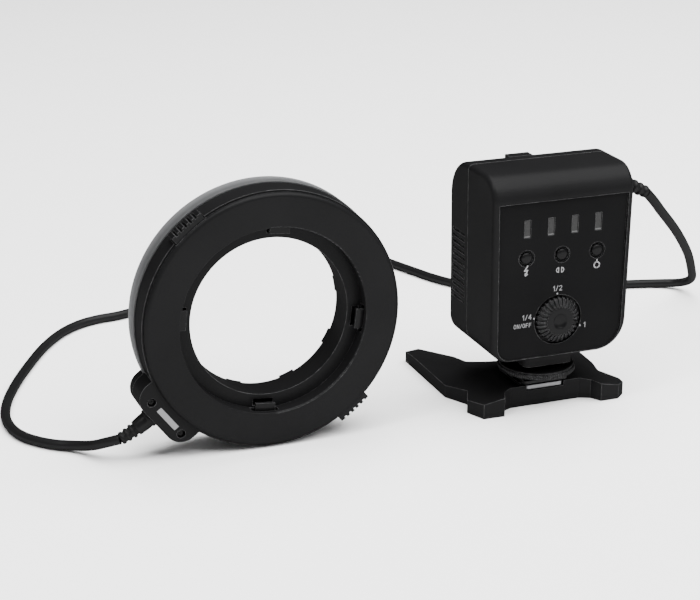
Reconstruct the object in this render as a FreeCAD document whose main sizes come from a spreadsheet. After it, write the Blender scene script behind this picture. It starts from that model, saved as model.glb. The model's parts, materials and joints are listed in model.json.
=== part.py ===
import FreeCAD, Part
import math
import os
import Sketcher

# A macro ring flash: a ring head that clips to a lens adapter, a battery controller in a
# table stand, and the cord between them. Millimetres and degrees. X runs to the right,
# Y away from the viewer and Z up. The origin is on the floor, under the hot-shoe foot.

# Driving dimensions
DIMENSIONS = [
    # Ring head: radii, and depths measured from its back face towards the light
    ("ring_x", -131.6, "ring axis, left of the foot"),
    ("ring_back", -13.3, "back face, towards the viewer"),
    ("recess_depth", 7.0, "adapter recess"),
    ("bore_radius", 35.5, "clear opening for the lens"),
    ("recess_step", 6.2, "from the opening out to the adapter recess"),
    ("plate_room", 6.6, "from the recess out to the frames' plates"),
    ("plate_width", 3.0, "annular plate of a frame"),
    ("post_room", 2.45, "from the plates out to the circle of the screw posts"),
    ("rim_room", 3.95, "from the screw posts' circle out to the housing's outside"),
    ("diffuser_step", 0.5, "diffuser beyond the housing; the ring stands on it"),
    ("cover_step", 0.85, "rear cover inside the housing's outline"),
    ("cover_round", 1.85, "rear cover's outer edge"),
    ("cover_plate", 2.0, "thickness of the rear cover"),
    ("cover_seam", 0.4, "groove between rear cover and housing"),
    ("split_depth", 13.8, "back edge of the diffuser"),
    ("tube_depth", 20.5, "end of the lens tube"),
    ("ring_depth", 24.5, "front of the diffuser"),
    ("ring_wall", 1.8, "moulded walls of the ring head"),
    ("web_wall", 2.0, "web that carries the light board"),
    ("skirt_gap", 0.2, "locating skirt inside the housing"),
    ("skirt_wall", 1.6, "locating skirt of the rear cover"),
    ("skirt_depth", 4.4, "end of the locating skirt"),
    ("board_clear_in", 4.0, "light board outside the opening"),
    ("board_clear_out", 2.7, "light board inside the housing's outline"),
    ("board_thick", 1.6, "circuit boards"),
    ("led_inset", 8.0, "row of light emitters, from the board's outer edge"),
    ("led_side", 5.0, "light emitter"),
    ("led_height", 1.6, "light emitter"),
    ("tab_angle", 11.0, "forward tabs on the lens tube"),
    ("tab_length", 1.8, "forward tabs on the lens tube"),
    # Release frames of the ring head
    ("press_angle", 129.0, "direction of the first button from the ring axis"),
    ("hook_spread", 44.4, "each hook beside the line of travel"),
    ("press_travel", 2.0, "travel of a button"),
    ("plate_thick", 1.5, "annular plate of a frame"),
    ("plate_one", 2.8, "depth of the first plate"),
    ("plate_gap", 0.2, "between the two plates"),
    ("hook_depth", 3.0, "rear side of all four hooks"),
    ("hook_width", 9.0, "hook"),
    ("hook_reach", 3.5, "hook inside the recess's wall"),
    ("hook_wall", 1.0, "upright wall of a stepped hook"),
    ("hook_room", 3.1, "outer side of a hook's upright wall, from the recess"),
    ("hook_clear", 0.2, "free space beside a hook at the end of its travel"),
    ("press_width", 15.9, "release button"),
    ("press_root", 2.1, "inner side of a release button, inside the housing's outline"),
    ("press_proud", 2.3, "outer side of a release button, beyond the housing"),
    ("press_back", 1.6, "rear side of a release button"),
    ("press_front", 8.5, "front side of a release button"),
    ("press_clear", 0.4, "gap round a release button"),
    ("serrations", 5.0, "ribs on a release button"),
    ("spring_radius", 1.2, "return spring"),
    ("spring_spread", 14.0, "return springs beside the line of travel"),
    # Boss for the cord on the ring head
    ("boss_angle", -142.6, "direction from the ring axis"),
    ("boss_proud", 8.8, "outer side, beyond the housing"),
    ("boss_half", 16.5, "half width"),
    ("boss_corner", 8.0, "corner radius"),
    ("boss_front", 18.5, "front of the boss cover"),
    ("boss_screw_inset", 5.0, "screws, inside the boss's outer side"),
    ("boss_screw_half", 10.2, "screws, from the middle of the pair"),
    ("boss_screw_shift", 1.2, "middle of the pair, below the boss's middle"),
    ("label_shift", 1.7, "label plate, below the boss's middle"),
    ("cord_depth", 8.1, "depth of the cord in the boss"),
    ("label_length", 12.3, "bare label plate"),
    ("label_width", 2.5, "bare label plate"),
    ("label_inset", 5.25, "middle of the label plate, inside the boss's outer side"),
    # Screws of the ring head
    ("post_radius", 1.7, "screw posts of the rear cover"),
    ("post_spread", 14.0, "screw posts beside the line across the travel"),
    ("small_screw", 0.75, "thread radius of the ring screws"),
    ("small_head", 1.5, "head radius of the ring screws"),
    ("small_head_height", 1.0, "head of the ring screws"),
    # Cord and its strain reliefs
    ("cord_radius", 2.25, "cord"),
    ("relief_shift", 1.9, "ring head's strain relief to the side of the boss's middle line"),
    ("relief_root", 3.9, "thick end of a strain relief"),
    ("relief_tip", 3.0, "thin end of a strain relief"),
    ("head_relief_length", 15.5, "outside the boss"),
    ("case_relief_length", 18.8, "outside the case"),
    ("case_exit_z", 100.7, "cord exit of the case"),
    ("case_exit_slope", -22.0, "direction of the cord out of the case"),
    ("relief_collar", 3.2, "collar of a strain relief, in its wall"),
    # Controller case
    ("case_half", 34.5, "half width at the top"),
    ("case_half_low", 33.4, "half width at the bottom"),
    ("case_front", -22.3, "rim round the panel"),
    ("case_rear", 25.0, "rear face"),
    ("case_bottom", 27.5, "underside"),
    ("case_top", 113.2, "crest"),
    ("case_split", 5.0, "joint between front shell and battery cover"),
    ("case_wall", 2.0, "walls of the case"),
    ("left_corner", 9.5, "lower left corner, seen from the front"),
    ("right_corner", 14.5, "lower right corner, seen from the front"),
    ("rear_round", 17.5, "rear top edge"),
    ("front_round", 12.0, "front top edge"),
    ("end_round", 2.4, "edges round the front, the rear and the sides"),
    ("panel_rim", 2.9, "rim beside the panel"),
    ("panel_top", 101.3, "top edge of the panel"),
    ("panel_sink", 1.0, "panel below the rim"),
    ("panel_thick", 1.6, "control panel"),
    ("panel_left_corner", 7.0, "lower left corner of the panel"),
    ("panel_right_corner", 12.0, "lower right corner of the panel"),
    ("cover_travel", 8.0, "battery cover on its rails"),
    ("cover_clear", 0.15, "gap between battery cover and front shell"),
    ("grip_top", 81.0, "highest grip rib"),
    ("grip_pitch", 2.9, "grip ribs"),
    ("grip_count", 12.0, "grip ribs on each side"),
    ("grip_sink", 0.5, "grip groove depth"),
    ("grip_slot", 1.3, "grip groove width"),
    ("thumb_left", 9.5, "thumb block to the left of the middle"),
    ("thumb_right", 7.0, "thumb block to the right of the middle, at its root"),
    ("thumb_lean", 5.0, "slope of the thumb block's right side"),
    ("thumb_deep", 8.0, "thumb block's root below the case's top"),
    ("thumb_low", 1.4, "thumb block's top below the case's top"),
    ("thumb_rise", 5.2, "thumb block above the rounded edge"),
    # Controls
    ("window_width", 2.95, "indicator window"),
    ("window_height", 8.0, "indicator window"),
    ("window_pitch", 11.6, "indicator windows"),
    ("window_z", 89.2, "indicator windows"),
    ("button_pitch", 17.4, "push buttons"),
    ("button_z", 75.7, "push buttons"),
    ("button_radius", 2.6, "push button"),
    ("button_well", 3.8, "recess round a push button"),
    ("button_travel", 0.6, "push button"),
    ("button_flange", 3.6, "flange behind the panel"),
    ("control_clear", 0.2, "round what passes through the front wall"),
    ("dial_x", -0.9, "dial axis"),
    ("dial_z", 45.2, "dial axis"),
    ("dial_radius", 10.6, "dial knob"),
    ("dial_well", 11.6, "well round the dial"),
    ("dial_height", 4.4, "dial above the bottom of its well"),
    ("dial_ribs", 28.0, "ribs round the dial"),
    ("dial_notch", 0.7, "depth of the notches between the dial's ribs"),
    ("dial_notch_half", 0.8, "half width of a notch at the dial's rim"),
    ("dial_dimple", 3.3, "dimple in the dial"),
    ("shaft_radius", 3.0, "potentiometer shaft"),
    ("shaft_fit", 0.03, "clearance of the dial on what it turns on"),
    ("board_y", -12.0, "front of the main board"),
    ("board_half", 29.0, "half width of the main board"),
    ("board_low", 36.0, "lower edge of the main board"),
    ("board_high", 96.0, "upper edge of the main board"),
    # Battery
    ("cell_radius", 7.15, "AA cell"),
    ("cell_length", 50.5, "AA cell"),
    ("cell_pitch", 14.6, "cells side by side"),
    ("cell_y", 14.2, "cell axes"),
    ("cell_bottom", 44.0, "lower end of the cells"),
    ("box_wall", 1.6, "walls of the battery box"),
    ("contact_space", 4.0, "room for a contact at each end"),
    ("contact_half", 3.7, "half width of a contact plate"),
    # Hot-shoe foot
    ("foot_half", 9.3, "half width of the foot plate"),
    ("foot_bottom", 7.7, "underside of the foot plate"),
    ("foot_thick", 1.9, "foot plate"),
    ("stem_radius", 6.0, "threaded post"),
    ("stem_fit", 0.05, "lock wheel on the post"),
    ("clamp_half", 11.0, "clamp plate"),
    ("clamp_bottom", 11.2, "underside of the clamp plate"),
    ("clamp_thick", 1.4, "clamp plate"),
    ("wheel_radius", 17.9, "lock wheel"),
    ("wheel_bottom", 14.5, "rim of the lock wheel"),
    ("wheel_top", 18.0, "rim of the lock wheel"),
    ("wheel_ribs", 48.0, "knurls of the lock wheel"),
    ("wheel_notch", 0.5, "depth of the notches between the wheel's knurls"),
    ("wheel_notch_half", 0.7, "half width of a notch at the wheel's rim"),
    ("hub_radius", 9.0, "hub under the lock wheel"),
    ("clamp_travel", 1.5, "clamp plate for one turn"),
    ("block_half", 12.0, "half width of the foot block"),
    ("block_depth", 13.0, "half depth of the foot block"),
    ("block_bottom", 20.0, "underside of the foot block"),
    # Stand
    ("stand_top", 10.0, "middle of the stand"),
    ("stand_front", 6.5, "thickness of the front legs"),
    ("stand_back", 5.0, "thickness of the rear legs"),
    ("shoe_clear", 0.2, "round the foot plate in the shoe"),
    ("shoe_half", 12.4, "half width over the shoe rails"),
    ("rail_top", 11.0, "top of the shoe rails"),
    ("rail_half", 6.4, "half the gap between the rails"),
    ("insert_radius", 4.6, "tripod insert"),
    ("insert_depth", 6.6, "tripod insert"),
    ("thread_radius", 2.55, "tripod thread, core"),
    ("thread_depth", 5.6, "tripod thread"),
]

MARGIN = 1.0        # how far a cutting shape runs past the faces that it cuts
STAND_RIGHT = [   # the stand on the floor, from its front middle round to the rear
    (17.3, -10.0), (22.6, -12.0), (25.5, -17.2), (34.5, -17.2), (39.0, -13.0), (39.6, -8.0),
    (33.8, 1.8), (36.6, 12.8), (40.0, 60.7), (32.4, 62.6), (22.7, 42.0), (20.9, 32.0),
]
STAND_LEFT = [   # the other side, also from its front middle round to the rear
    (-17.3, -10.0), (-21.4, -12.0), (-23.9, -17.8), (-34.2, -17.6), (-38.2, -8.0),
    (-34.2, 0.6), (-40.2, 12.4), (-40.0, 60.7), (-32.4, 62.6), (-22.7, 42.0), (-20.9, 32.0),
]
STAND_ARC_REAR = 25.5      # middle of the round rear edge
CORD_ROUTE = [             # from the ring head, over the floor, up to the controller
    (-215.0, 4.5, 2.3), (-226.0, 18.0, 2.3), (-235.0, 34.0, 2.3), (-237.5, 53.0, 2.3),
    (-233.0, 72.0, 2.3), (-224.5, 93.0, 2.3), (-213.5, 115.0, 2.3), (-200.5, 138.5, 2.3),
    (-186.0, 156.5, 2.3), (-171.0, 165.5, 2.3), (-152.0, 167.0, 2.3), (-133.5, 179.0, 2.3),
    (-119.0, 206.0, 2.3), (-104.0, 238.0, 2.3), (-84.0, 269.0, 2.3), (-59.0, 293.0, 2.3),
    (-30.0, 296.0, 2.3), (-11.0, 275.0, 2.3), (-3.0, 243.0, 2.3), (2.5, 211.0, 2.3),
    (9.5, 191.0, 2.3), (14.5, 178.0, 2.3), (20.5, 162.0, 2.3), (29.0, 148.5, 2.3),
    (46.0, 136.5, 2.3), (70.0, 127.5, 2.3), (94.0, 122.0, 2.3), (112.0, 118.8, 2.3),
    (127.0, 115.5, 2.3), (139.5, 110.0, 2.5), (144.0, 98.5, 7.0), (137.5, 86.0, 15.0),
    (126.0, 72.0, 26.0), (113.5, 57.0, 37.5), (99.5, 40.0, 50.5), (86.0, 25.5, 63.0),
    (74.5, 11.0, 75.5),
]
HEAD_EXIT_RUN = 9.5        # straight cord out of the ring head's strain relief
CASE_EXIT_RUN = 12.0       # straight cord out of the controller's strain relief


class Size:
    """A number together with the sheet formula that gives it."""

    def __init__(self, number, text):
        self.number = float(number)
        self.text = text

    def __float__(self):
        return self.number

    def __neg__(self):
        return Size(-self.number, "(-%s)" % self.text)

    def __add__(self, other):
        other = as_size(other)
        return Size(self.number + other.number, "(%s + %s)" % (self.text, other.text))

    def __sub__(self, other):
        other = as_size(other)
        return Size(self.number - other.number, "(%s - %s)" % (self.text, other.text))

    def __mul__(self, other):
        other = as_size(other)
        return Size(self.number * other.number, "(%s * %s)" % (self.text, other.text))

    def __truediv__(self, other):
        other = as_size(other)
        return Size(self.number / other.number, "(%s / %s)" % (self.text, other.text))

    def __radd__(self, other):
        return as_size(other) + self

    def __rsub__(self, other):
        return as_size(other) - self

    def __rmul__(self, other):
        return as_size(other) * self


def as_size(value):
    return value if isinstance(value, Size) else Size(value, "(%.6f)" % value)


def sine(angle):
    angle = as_size(angle)
    return Size(math.sin(math.radians(angle.number)), "sin(%s)" % angle.text)


def cosine(angle):
    angle = as_size(angle)
    return Size(math.cos(math.radians(angle.number)), "cos(%s)" % angle.text)


class Dimensions:
    """The sheet's sizes as attributes."""

    def __init__(self, sheet):
        for row, (alias, number, note) in enumerate(DIMENSIONS, start=1):
            sheet.set("A%d" % row, alias)
            sheet.set("B%d" % row, str(number))
            sheet.set("C%d" % row, note)
            sheet.setAlias("B%d" % row, alias)
            setattr(self, alias, Size(number, "Sizes.%s" % alias))


document = FreeCAD.newDocument("RingFlash")
sheet = document.addObject("Spreadsheet::Sheet", "Sizes")
size = Dimensions(sheet)
document.recompute()

nodes = []          # every finished sub-part, in the order it is made


def bind(item, prop, value):
    item.setExpression(prop, as_size(value).text)


def node(label, item, frame=None):
    """Name a finished sub-part, and set it in the frame that it was drawn in."""
    item.Label = label
    if frame is not None:
        frame(item)
    nodes.append(item)
    return item


# Radii of the ring head, from the opening outwards
recess_radius = size.bore_radius + size.recess_step
plate_inner = recess_radius + size.plate_room
plate_outer = plate_inner + size.plate_width
post_circle = plate_outer + size.post_room
housing_radius = post_circle + size.rim_room
diffuser_radius = housing_radius + size.diffuser_step
cover_radius = housing_radius - size.cover_step
board_inner = size.bore_radius + size.board_clear_in
board_outer = housing_radius - size.board_clear_out
led_circle = board_outer - size.led_inset
hook_radius = recess_radius - size.hook_reach
press_inner = housing_radius - size.press_root
press_outer = housing_radius + size.press_proud
boss_reach = housing_radius + size.boss_proud
boss_screw_reach = boss_reach - size.boss_screw_inset
label_reach = boss_reach - size.label_inset


def in_ring(item):
    """The ring's frame: local Z runs from its back face towards the light."""
    item.Placement = FreeCAD.Placement(
        FreeCAD.Vector(float(size.ring_x), float(size.ring_back), float(diffuser_radius)),
        FreeCAD.Rotation(FreeCAD.Vector(1, 0, 0), -90))
    if item.TypeId != "Part::Feature":
        bind(item, "Placement.Base.x", size.ring_x)
        bind(item, "Placement.Base.y", size.ring_back)
        bind(item, "Placement.Base.z", diffuser_radius)


def box(name, xs, ys, zs):
    """A block between two values along each axis."""
    item = document.addObject("Part::Box", name)
    for prop, axis, (low, high) in zip(("Length", "Width", "Height"), "xyz", (xs, ys, zs)):
        bind(item, prop, as_size(high) - low)
        bind(item, "Placement.Base." + axis, low)
    return item


def cylinder(name, radius, low, high, axis="z", at=(0.0, 0.0)):
    """A round bar along an axis; at gives its place on the two other axes, in order."""
    item = document.addObject("Part::Cylinder", name)
    bind(item, "Radius", radius)
    bind(item, "Height", as_size(high) - low)
    turns = {"x": FreeCAD.Rotation(FreeCAD.Vector(0, 1, 0), 90),
             "y": FreeCAD.Rotation(FreeCAD.Vector(1, 0, 0), -90),
             "z": FreeCAD.Rotation()}
    item.Placement = FreeCAD.Placement(FreeCAD.Vector(), turns[axis])
    across = [letter for letter in "xyz" if letter != axis]
    bind(item, "Placement.Base." + axis, low)
    for letter, place in zip(across, at):
        bind(item, "Placement.Base." + letter, place)
    return item


def fuse(name, items):
    item = document.addObject("Part::MultiFuse", name)
    item.Shapes = list(items)
    return item


def common(name, items):
    item = document.addObject("Part::MultiCommon", name)
    item.Shapes = list(items)
    return item


def cut(name, base, tools):
    """The base without the tools."""
    tools = list(tools)
    item = document.addObject("Part::Cut", name)
    item.Base = base
    item.Tool = tools[0] if len(tools) == 1 else fuse(name + "_tools", tools)
    return item


def group(name, items):
    item = document.addObject("Part::Compound", name)
    item.Links = list(items)
    return item


def tube(name, outer, inner, low, high, axis="z", at=(0.0, 0.0)):
    solid = cylinder(name + "_outside", outer, low, high, axis, at)
    hollow = cylinder(name + "_inside", inner, as_size(low) - MARGIN, as_size(high) + MARGIN,
                      axis, at)
    return cut(name, solid, [hollow])


def turned(item, angle):
    """Turn a block drawn along local X about the ring's axis to an angle seen from behind."""
    wrap = document.addObject("Part::Compound", item.Name + "_turned")
    wrap.Links = [item]
    wrap.Placement = FreeCAD.Placement(
        FreeCAD.Vector(), FreeCAD.Rotation(FreeCAD.Vector(0, 0, -1), float(as_size(angle))))
    bind(wrap, "Placement.Rotation.Angle", as_size(angle))
    return wrap


def body_plane(body, role):
    """One of a body's own origin planes."""
    return next(plane for plane in body.Origin.OriginFeatures if plane.Role == role)


def outline(body, role, corners, name="outline"):
    """A closed sketch with straight sides; each corner is a pair of sizes."""
    sketch = body.newObject("Sketcher::SketchObject", body.Name + "_" + name)
    sketch.AttachmentSupport = [(body_plane(body, role), "")]
    sketch.MapMode = "FlatFace"
    corners = [(as_size(across), as_size(along)) for across, along in corners]
    points = [FreeCAD.Vector(float(across), float(along), 0) for across, along in corners]
    count = len(points)
    for index in range(count):
        sketch.addGeometry(Part.LineSegment(points[index], points[(index + 1) % count]))
    for index in range(count):
        sketch.addConstraint(
            Sketcher.Constraint("Coincident", index, 2, (index + 1) % count, 1))
    for index, (across, along) in enumerate(corners):
        for kind, value in (("DistanceX", across), ("DistanceY", along)):
            place = sketch.addConstraint(
                Sketcher.Constraint(kind, -1, 1, index, 1, float(value)))
            sketch.setExpression("Constraints[%d]" % place, value.text)
    return sketch


def turning(name, profile, rounds=()):
    """A turned body: its profile is pairs of radius and height, round its own Z axis.

    Each round is a radius, and the radius and height of the edge that it rounds.
    """
    body = document.addObject("PartDesign::Body", name)
    sketch = outline(body, "XZ_Plane", profile)
    feature = body.newObject("PartDesign::Revolution", name + "_turned")
    feature.Profile = sketch
    feature.ReferenceAxis = (sketch, ["V_Axis"])
    feature.Angle = 360
    for index, (radius, edge_radius, edge_height) in enumerate(rounds):
        document.recompute()
        names = []
        for place, edge in enumerate(feature.Shape.Edges, start=1):
            if not hasattr(edge.Curve, "Radius"):
                continue
            same_radius = abs(edge.Curve.Radius - float(edge_radius)) < 0.01
            same_height = abs(edge.CenterOfMass.z - float(edge_height)) < 0.01
            if same_radius and same_height:
                names.append("Edge%d" % place)
        fillet = body.newObject("PartDesign::Fillet", "%s_round%d" % (name, index))
        fillet.Base = (feature, names)
        fillet.Radius = float(as_size(radius))
        bind(fillet, "Radius", radius)
        feature = fillet
    body.Tip = feature
    return body


def slab(name, role, corners, low, high):
    """A padded outline between two distances along the normal of one of its planes."""
    body = document.addObject("PartDesign::Body", name)
    sketch = outline(body, role, corners)
    pad = body.newObject("PartDesign::Pad", name + "_pad")
    pad.Profile = sketch
    bind(pad, "Length", as_size(high) - low)
    body.Tip = pad
    axis = {"XY_Plane": "z", "XZ_Plane": "y"}[role]
    start = low if role == "XY_Plane" else high
    bind(body, "Placement.Base." + axis, start)
    return body


def rounded(name, item, radius, chosen):
    """Round the edges of an item that the test picks out."""
    document.recompute()
    fillet = document.addObject("Part::Fillet", name)
    fillet.Base = item
    size_now = float(as_size(radius))
    fillet.Edges = [(place, size_now, size_now)
                    for place, edge in enumerate(item.Shape.Edges, start=1) if chosen(edge)]
    return fillet


def near(value, target):
    return abs(value - float(target)) < 0.05


def parallel(edge, axis):
    """Whether an edge is straight and runs along an axis."""
    if edge.Curve.TypeId != "Part::GeomLine":
        return False
    return abs(getattr(edge.Curve.Direction, axis)) > 0.99


# Where the hooks and the buttons stand round the ring
HOOK_ANGLES_ONE = [size.press_angle - 180.0 + size.hook_spread,
                   size.press_angle - 180.0 - size.hook_spread]
HOOK_ANGLES_TWO = [size.press_angle - size.hook_spread, size.press_angle + size.hook_spread]
PRESS_ANGLES = [size.press_angle, size.press_angle - 180.0]

plate_two = size.plate_one + size.plate_thick + size.plate_gap
housing_back = size.cover_plate + size.cover_seam
skirt_outer = housing_radius - size.ring_wall - size.skirt_gap
skirt_inner = skirt_outer - size.skirt_wall
floor_outer = recess_radius + 1.6
web_back = size.split_depth - size.web_wall
hook_window = size.hook_width + 2 * (size.press_travel * sine(size.hook_spread) + size.hook_clear)
post_angles = [size.press_angle - 90.0 - size.post_spread, size.press_angle - 90.0 + size.post_spread,
               size.press_angle + 90.0 - size.post_spread, size.press_angle + 90.0 + size.post_spread]


def make_rear_cover():
    plate = turning("rear_cover_turned", [
        (recess_radius, 0.0),
        (cover_radius, 0.0),
        (cover_radius, size.cover_plate),
        (skirt_outer, size.cover_plate),
        (skirt_outer, size.skirt_depth),
        (skirt_inner, size.skirt_depth),
        (skirt_inner, size.cover_plate),
        (floor_outer, size.cover_plate),
        (floor_outer, size.recess_depth),
        (recess_radius, size.recess_depth),
    ], rounds=[(size.cover_round, cover_radius, 0.0), (0.5, recess_radius, 0.0)])
    tools = []
    for index, angle in enumerate(HOOK_ANGLES_ONE + HOOK_ANGLES_TWO):
        window = box("hook_window%d" % index,
                     (recess_radius - MARGIN, floor_outer + MARGIN),
                     (-hook_window / 2, hook_window / 2),
                     (size.cover_plate + 0.3, size.recess_depth - 0.6))
        tools.append(turned(window, angle))
    for index, angle in enumerate(PRESS_ANGLES):
        relief = box("button_relief%d" % index,
                     (skirt_inner - 1.8, cover_radius + MARGIN),
                     (-size.press_width / 2 - size.press_clear, size.press_width / 2 + size.press_clear),
                     (size.press_back - 0.3, size.skirt_depth + MARGIN))
        tools.append(turned(relief, angle))
    shell = cut("rear_cover_cut", plate, tools)
    posts = []
    pilots = []
    for index, angle in enumerate(post_angles):
        post = cylinder("cover_post%d" % index, size.post_radius, size.cover_plate - 0.5, web_back,
                        at=(post_circle, 0.0))
        posts.append(turned(post, angle))
        pilot = cylinder("cover_pilot%d" % index, size.small_screw, size.cover_plate + 1.0,
                         web_back + MARGIN, at=(post_circle, 0.0))
        pilots.append(turned(pilot, angle))
    node("rear_cover", cut("rear_cover_body", fuse("rear_cover_posts", [shell] + posts), pilots),
         in_ring)


def boss_block(name, low, high, inset):
    """The boss outline as a block with two round outer corners."""
    reach = boss_reach - inset
    half = size.boss_half - inset
    block = box(name + "_block", (size.bore_radius + 15.0, reach), (-half, half), (low, high))
    corner = size.boss_corner - inset
    return rounded(name, block, corner,
                   lambda edge: parallel(edge, "z") and near(edge.CenterOfMass.x, reach))


def make_front_housing():
    inner = housing_radius - size.ring_wall
    tube_outer = size.bore_radius + size.ring_wall
    shell = turning("housing_turned", [
        (housing_radius, housing_back),
        (housing_radius, size.split_depth),
        (tube_outer, size.split_depth),
        (tube_outer, size.tube_depth),
        (size.bore_radius, size.tube_depth),
        (size.bore_radius, size.recess_depth),
        (floor_outer, size.recess_depth),
        (floor_outer, size.recess_depth + size.ring_wall),
        (tube_outer, size.recess_depth + size.ring_wall),
        (tube_outer, web_back),
        (plate_inner + 0.7, web_back),
        (plate_inner + 0.7, plate_two + size.plate_thick + 0.1),
        (plate_outer - 0.7, plate_two + size.plate_thick + 0.1),
        (plate_outer - 0.7, web_back),
        (inner, web_back),
        (inner, housing_back),
    ])
    boss = cut("boss_outside", boss_block("boss_rear", housing_back, size.split_depth, as_size(0.0)),
               [cylinder("boss_room", inner + 0.5, housing_back - MARGIN, size.split_depth + MARGIN)])
    room = cut("boss_cavity",
               boss_block("boss_hollow", housing_back + size.ring_wall, size.split_depth + MARGIN,
                          size.ring_wall),
               [cylinder("boss_cavity_core", housing_radius, housing_back, size.ring_depth)])
    boss = cut("boss_hollowed", boss, [room])
    columns = []
    holes = []
    for index, side in enumerate((-1, 1)):
        place = (boss_screw_reach, side * size.boss_screw_half - size.boss_screw_shift)
        columns.append(cylinder("boss_column%d" % index, 2.8, housing_back + 0.5, size.split_depth,
                                at=place))
        holes.append(cylinder("boss_counterbore%d" % index, 1.9, housing_back - MARGIN,
                              housing_back + 2.4, at=place))
        holes.append(cylinder("boss_hole%d" % index, 1.1, housing_back, size.split_depth + MARGIN,
                              at=place))
    holes.append(cylinder("boss_cord_hole", size.relief_collar, boss_reach - 6.0,
                          boss_reach + MARGIN, axis="x",
                          at=(size.relief_shift, size.cord_depth)))
    boss = cut("boss_drilled", fuse("boss_columns", [boss] + columns), holes)
    tabs = []
    for index in range(9):
        middle = 10.0 + 40.0 * index
        ring = tube("tab_ring%d" % index, tube_outer, size.bore_radius, size.tube_depth - 0.5,
                    size.tube_depth + size.tab_length)
        width = size.bore_radius * sine(size.tab_angle)
        block = box("tab_block%d" % index, (size.bore_radius - MARGIN, tube_outer + MARGIN),
                    (-width / 2, width / 2), (size.tube_depth - 0.5, size.tube_depth + size.tab_length))
        tabs.append(common("tab%d" % index, [ring, turned(block, middle)]))
    tools = []
    for index, angle in enumerate(PRESS_ANGLES):
        half = size.press_width / 2 + size.press_clear
        window = box("button_window%d" % index, (inner - 2.0, housing_radius + 3.0),
                     (-half, half), (housing_back - MARGIN, size.press_front + size.press_clear))
        tools.append(turned(window, angle))
    for index, angle in enumerate(HOOK_ANGLES_ONE + HOOK_ANGLES_TWO):
        slot = box("floor_slot%d" % index, (tube_outer + 0.3, recess_radius - 1.1),
                   (-size.hook_width / 2, size.hook_width / 2),
                   (size.recess_depth - MARGIN, size.recess_depth + size.ring_wall + 0.5))
        tools.append(turned(slot, angle))
    for index, angle in enumerate(post_angles):
        hole = cylinder("web_hole%d" % index, size.small_screw + 0.1, web_back - MARGIN,
                        size.split_depth + MARGIN, at=(post_circle, 0.0))
        head = cylinder("web_counterbore%d" % index, size.small_head + 0.1,
                        size.split_depth - size.small_head_height, size.split_depth + MARGIN,
                        at=(post_circle, 0.0))
        tools.append(turned(fuse("web_screw%d" % index, [hole, head]), angle))
    housing = cut("housing_cut", fuse("housing_solid", [shell] + tabs), tools)
    opening = cut("housing_opened", housing,
                  [turned(cylinder("boss_passage", 4.0, inner - 2.0, housing_radius + 2.0,
                                   axis="x", at=(0.0, size.cord_depth)), size.boss_angle)])
    node("front_housing", fuse("housing_body", [opening, turned(boss, size.boss_angle)]), in_ring)


def make_boss_cover():
    block = boss_block("boss_cap", size.split_depth, size.boss_front, as_size(0.0))
    inside = boss_block("boss_cap_hollow", size.split_depth - MARGIN,
                        size.boss_front - size.ring_wall, size.ring_wall)
    clearance = cylinder("boss_cap_core", diffuser_radius + 0.3, size.split_depth - MARGIN,
                         size.boss_front + MARGIN)
    wall = cylinder("boss_cap_wall", diffuser_radius + 0.3 + size.ring_wall,
                    size.split_depth - 2 * MARGIN, size.boss_front + MARGIN)
    cap = cut("boss_cap_shell", block, [cut("boss_cap_room", inside, [wall]), clearance])
    posts = []
    pilots = []
    for index, side in enumerate((-1, 1)):
        place = (boss_screw_reach, side * size.boss_screw_half - size.boss_screw_shift)
        posts.append(cylinder("cap_post%d" % index, 1.9, size.split_depth, size.boss_front - 1.0,
                              at=place))
        pilots.append(cylinder("cap_pilot%d" % index, size.small_screw, size.split_depth - MARGIN,
                               size.boss_front - size.ring_wall, at=place))
    cap = cut("boss_cap_drilled", fuse("boss_cap_posts", [cap] + posts), pilots)
    node("boss_cover", group("boss_cap_body", [turned(cap, size.boss_angle)]), in_ring)


def make_ring_screws():
    heads = []
    for index, side in enumerate((-1, 1)):
        place = (boss_screw_reach, side * size.boss_screw_half - size.boss_screw_shift)
        head = cylinder("boss_screw_head%d" % index, 1.7, housing_back + 1.2, housing_back + 2.4,
                        at=place)
        shank = cylinder("boss_screw_shank%d" % index, size.small_screw, housing_back + 2.0,
                         size.boss_front - size.ring_wall - 0.2, at=place)
        heads.append(turned(fuse("boss_screw%d" % index, [head, shank]), size.boss_angle))
    node("boss_screws", group("boss_screw_pair", heads), in_ring)
    screws = []
    for index, angle in enumerate(post_angles):
        place = (post_circle, 0.0)
        head = cylinder("cover_screw_head%d" % index, size.small_head,
                        size.split_depth - size.small_head_height, size.split_depth, at=place)
        shank = cylinder("cover_screw_shank%d" % index, size.small_screw, size.cover_plate + 1.2,
                         size.split_depth - 0.5, at=place)
        screws.append(turned(fuse("cover_screw%d" % index, [head, shank]), angle))
    node("cover_screws", group("cover_screw_set", screws), in_ring)


def make_label_plate():
    plate = box("label_block", (label_reach - size.label_width / 2,
                                label_reach + size.label_width / 2),
                (-size.label_length / 2 - size.label_shift,
                 size.label_length / 2 - size.label_shift),
                (housing_back - 0.25, housing_back))
    node("label_plate", group("label_body", [turned(plate, size.boss_angle)]), in_ring)


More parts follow.
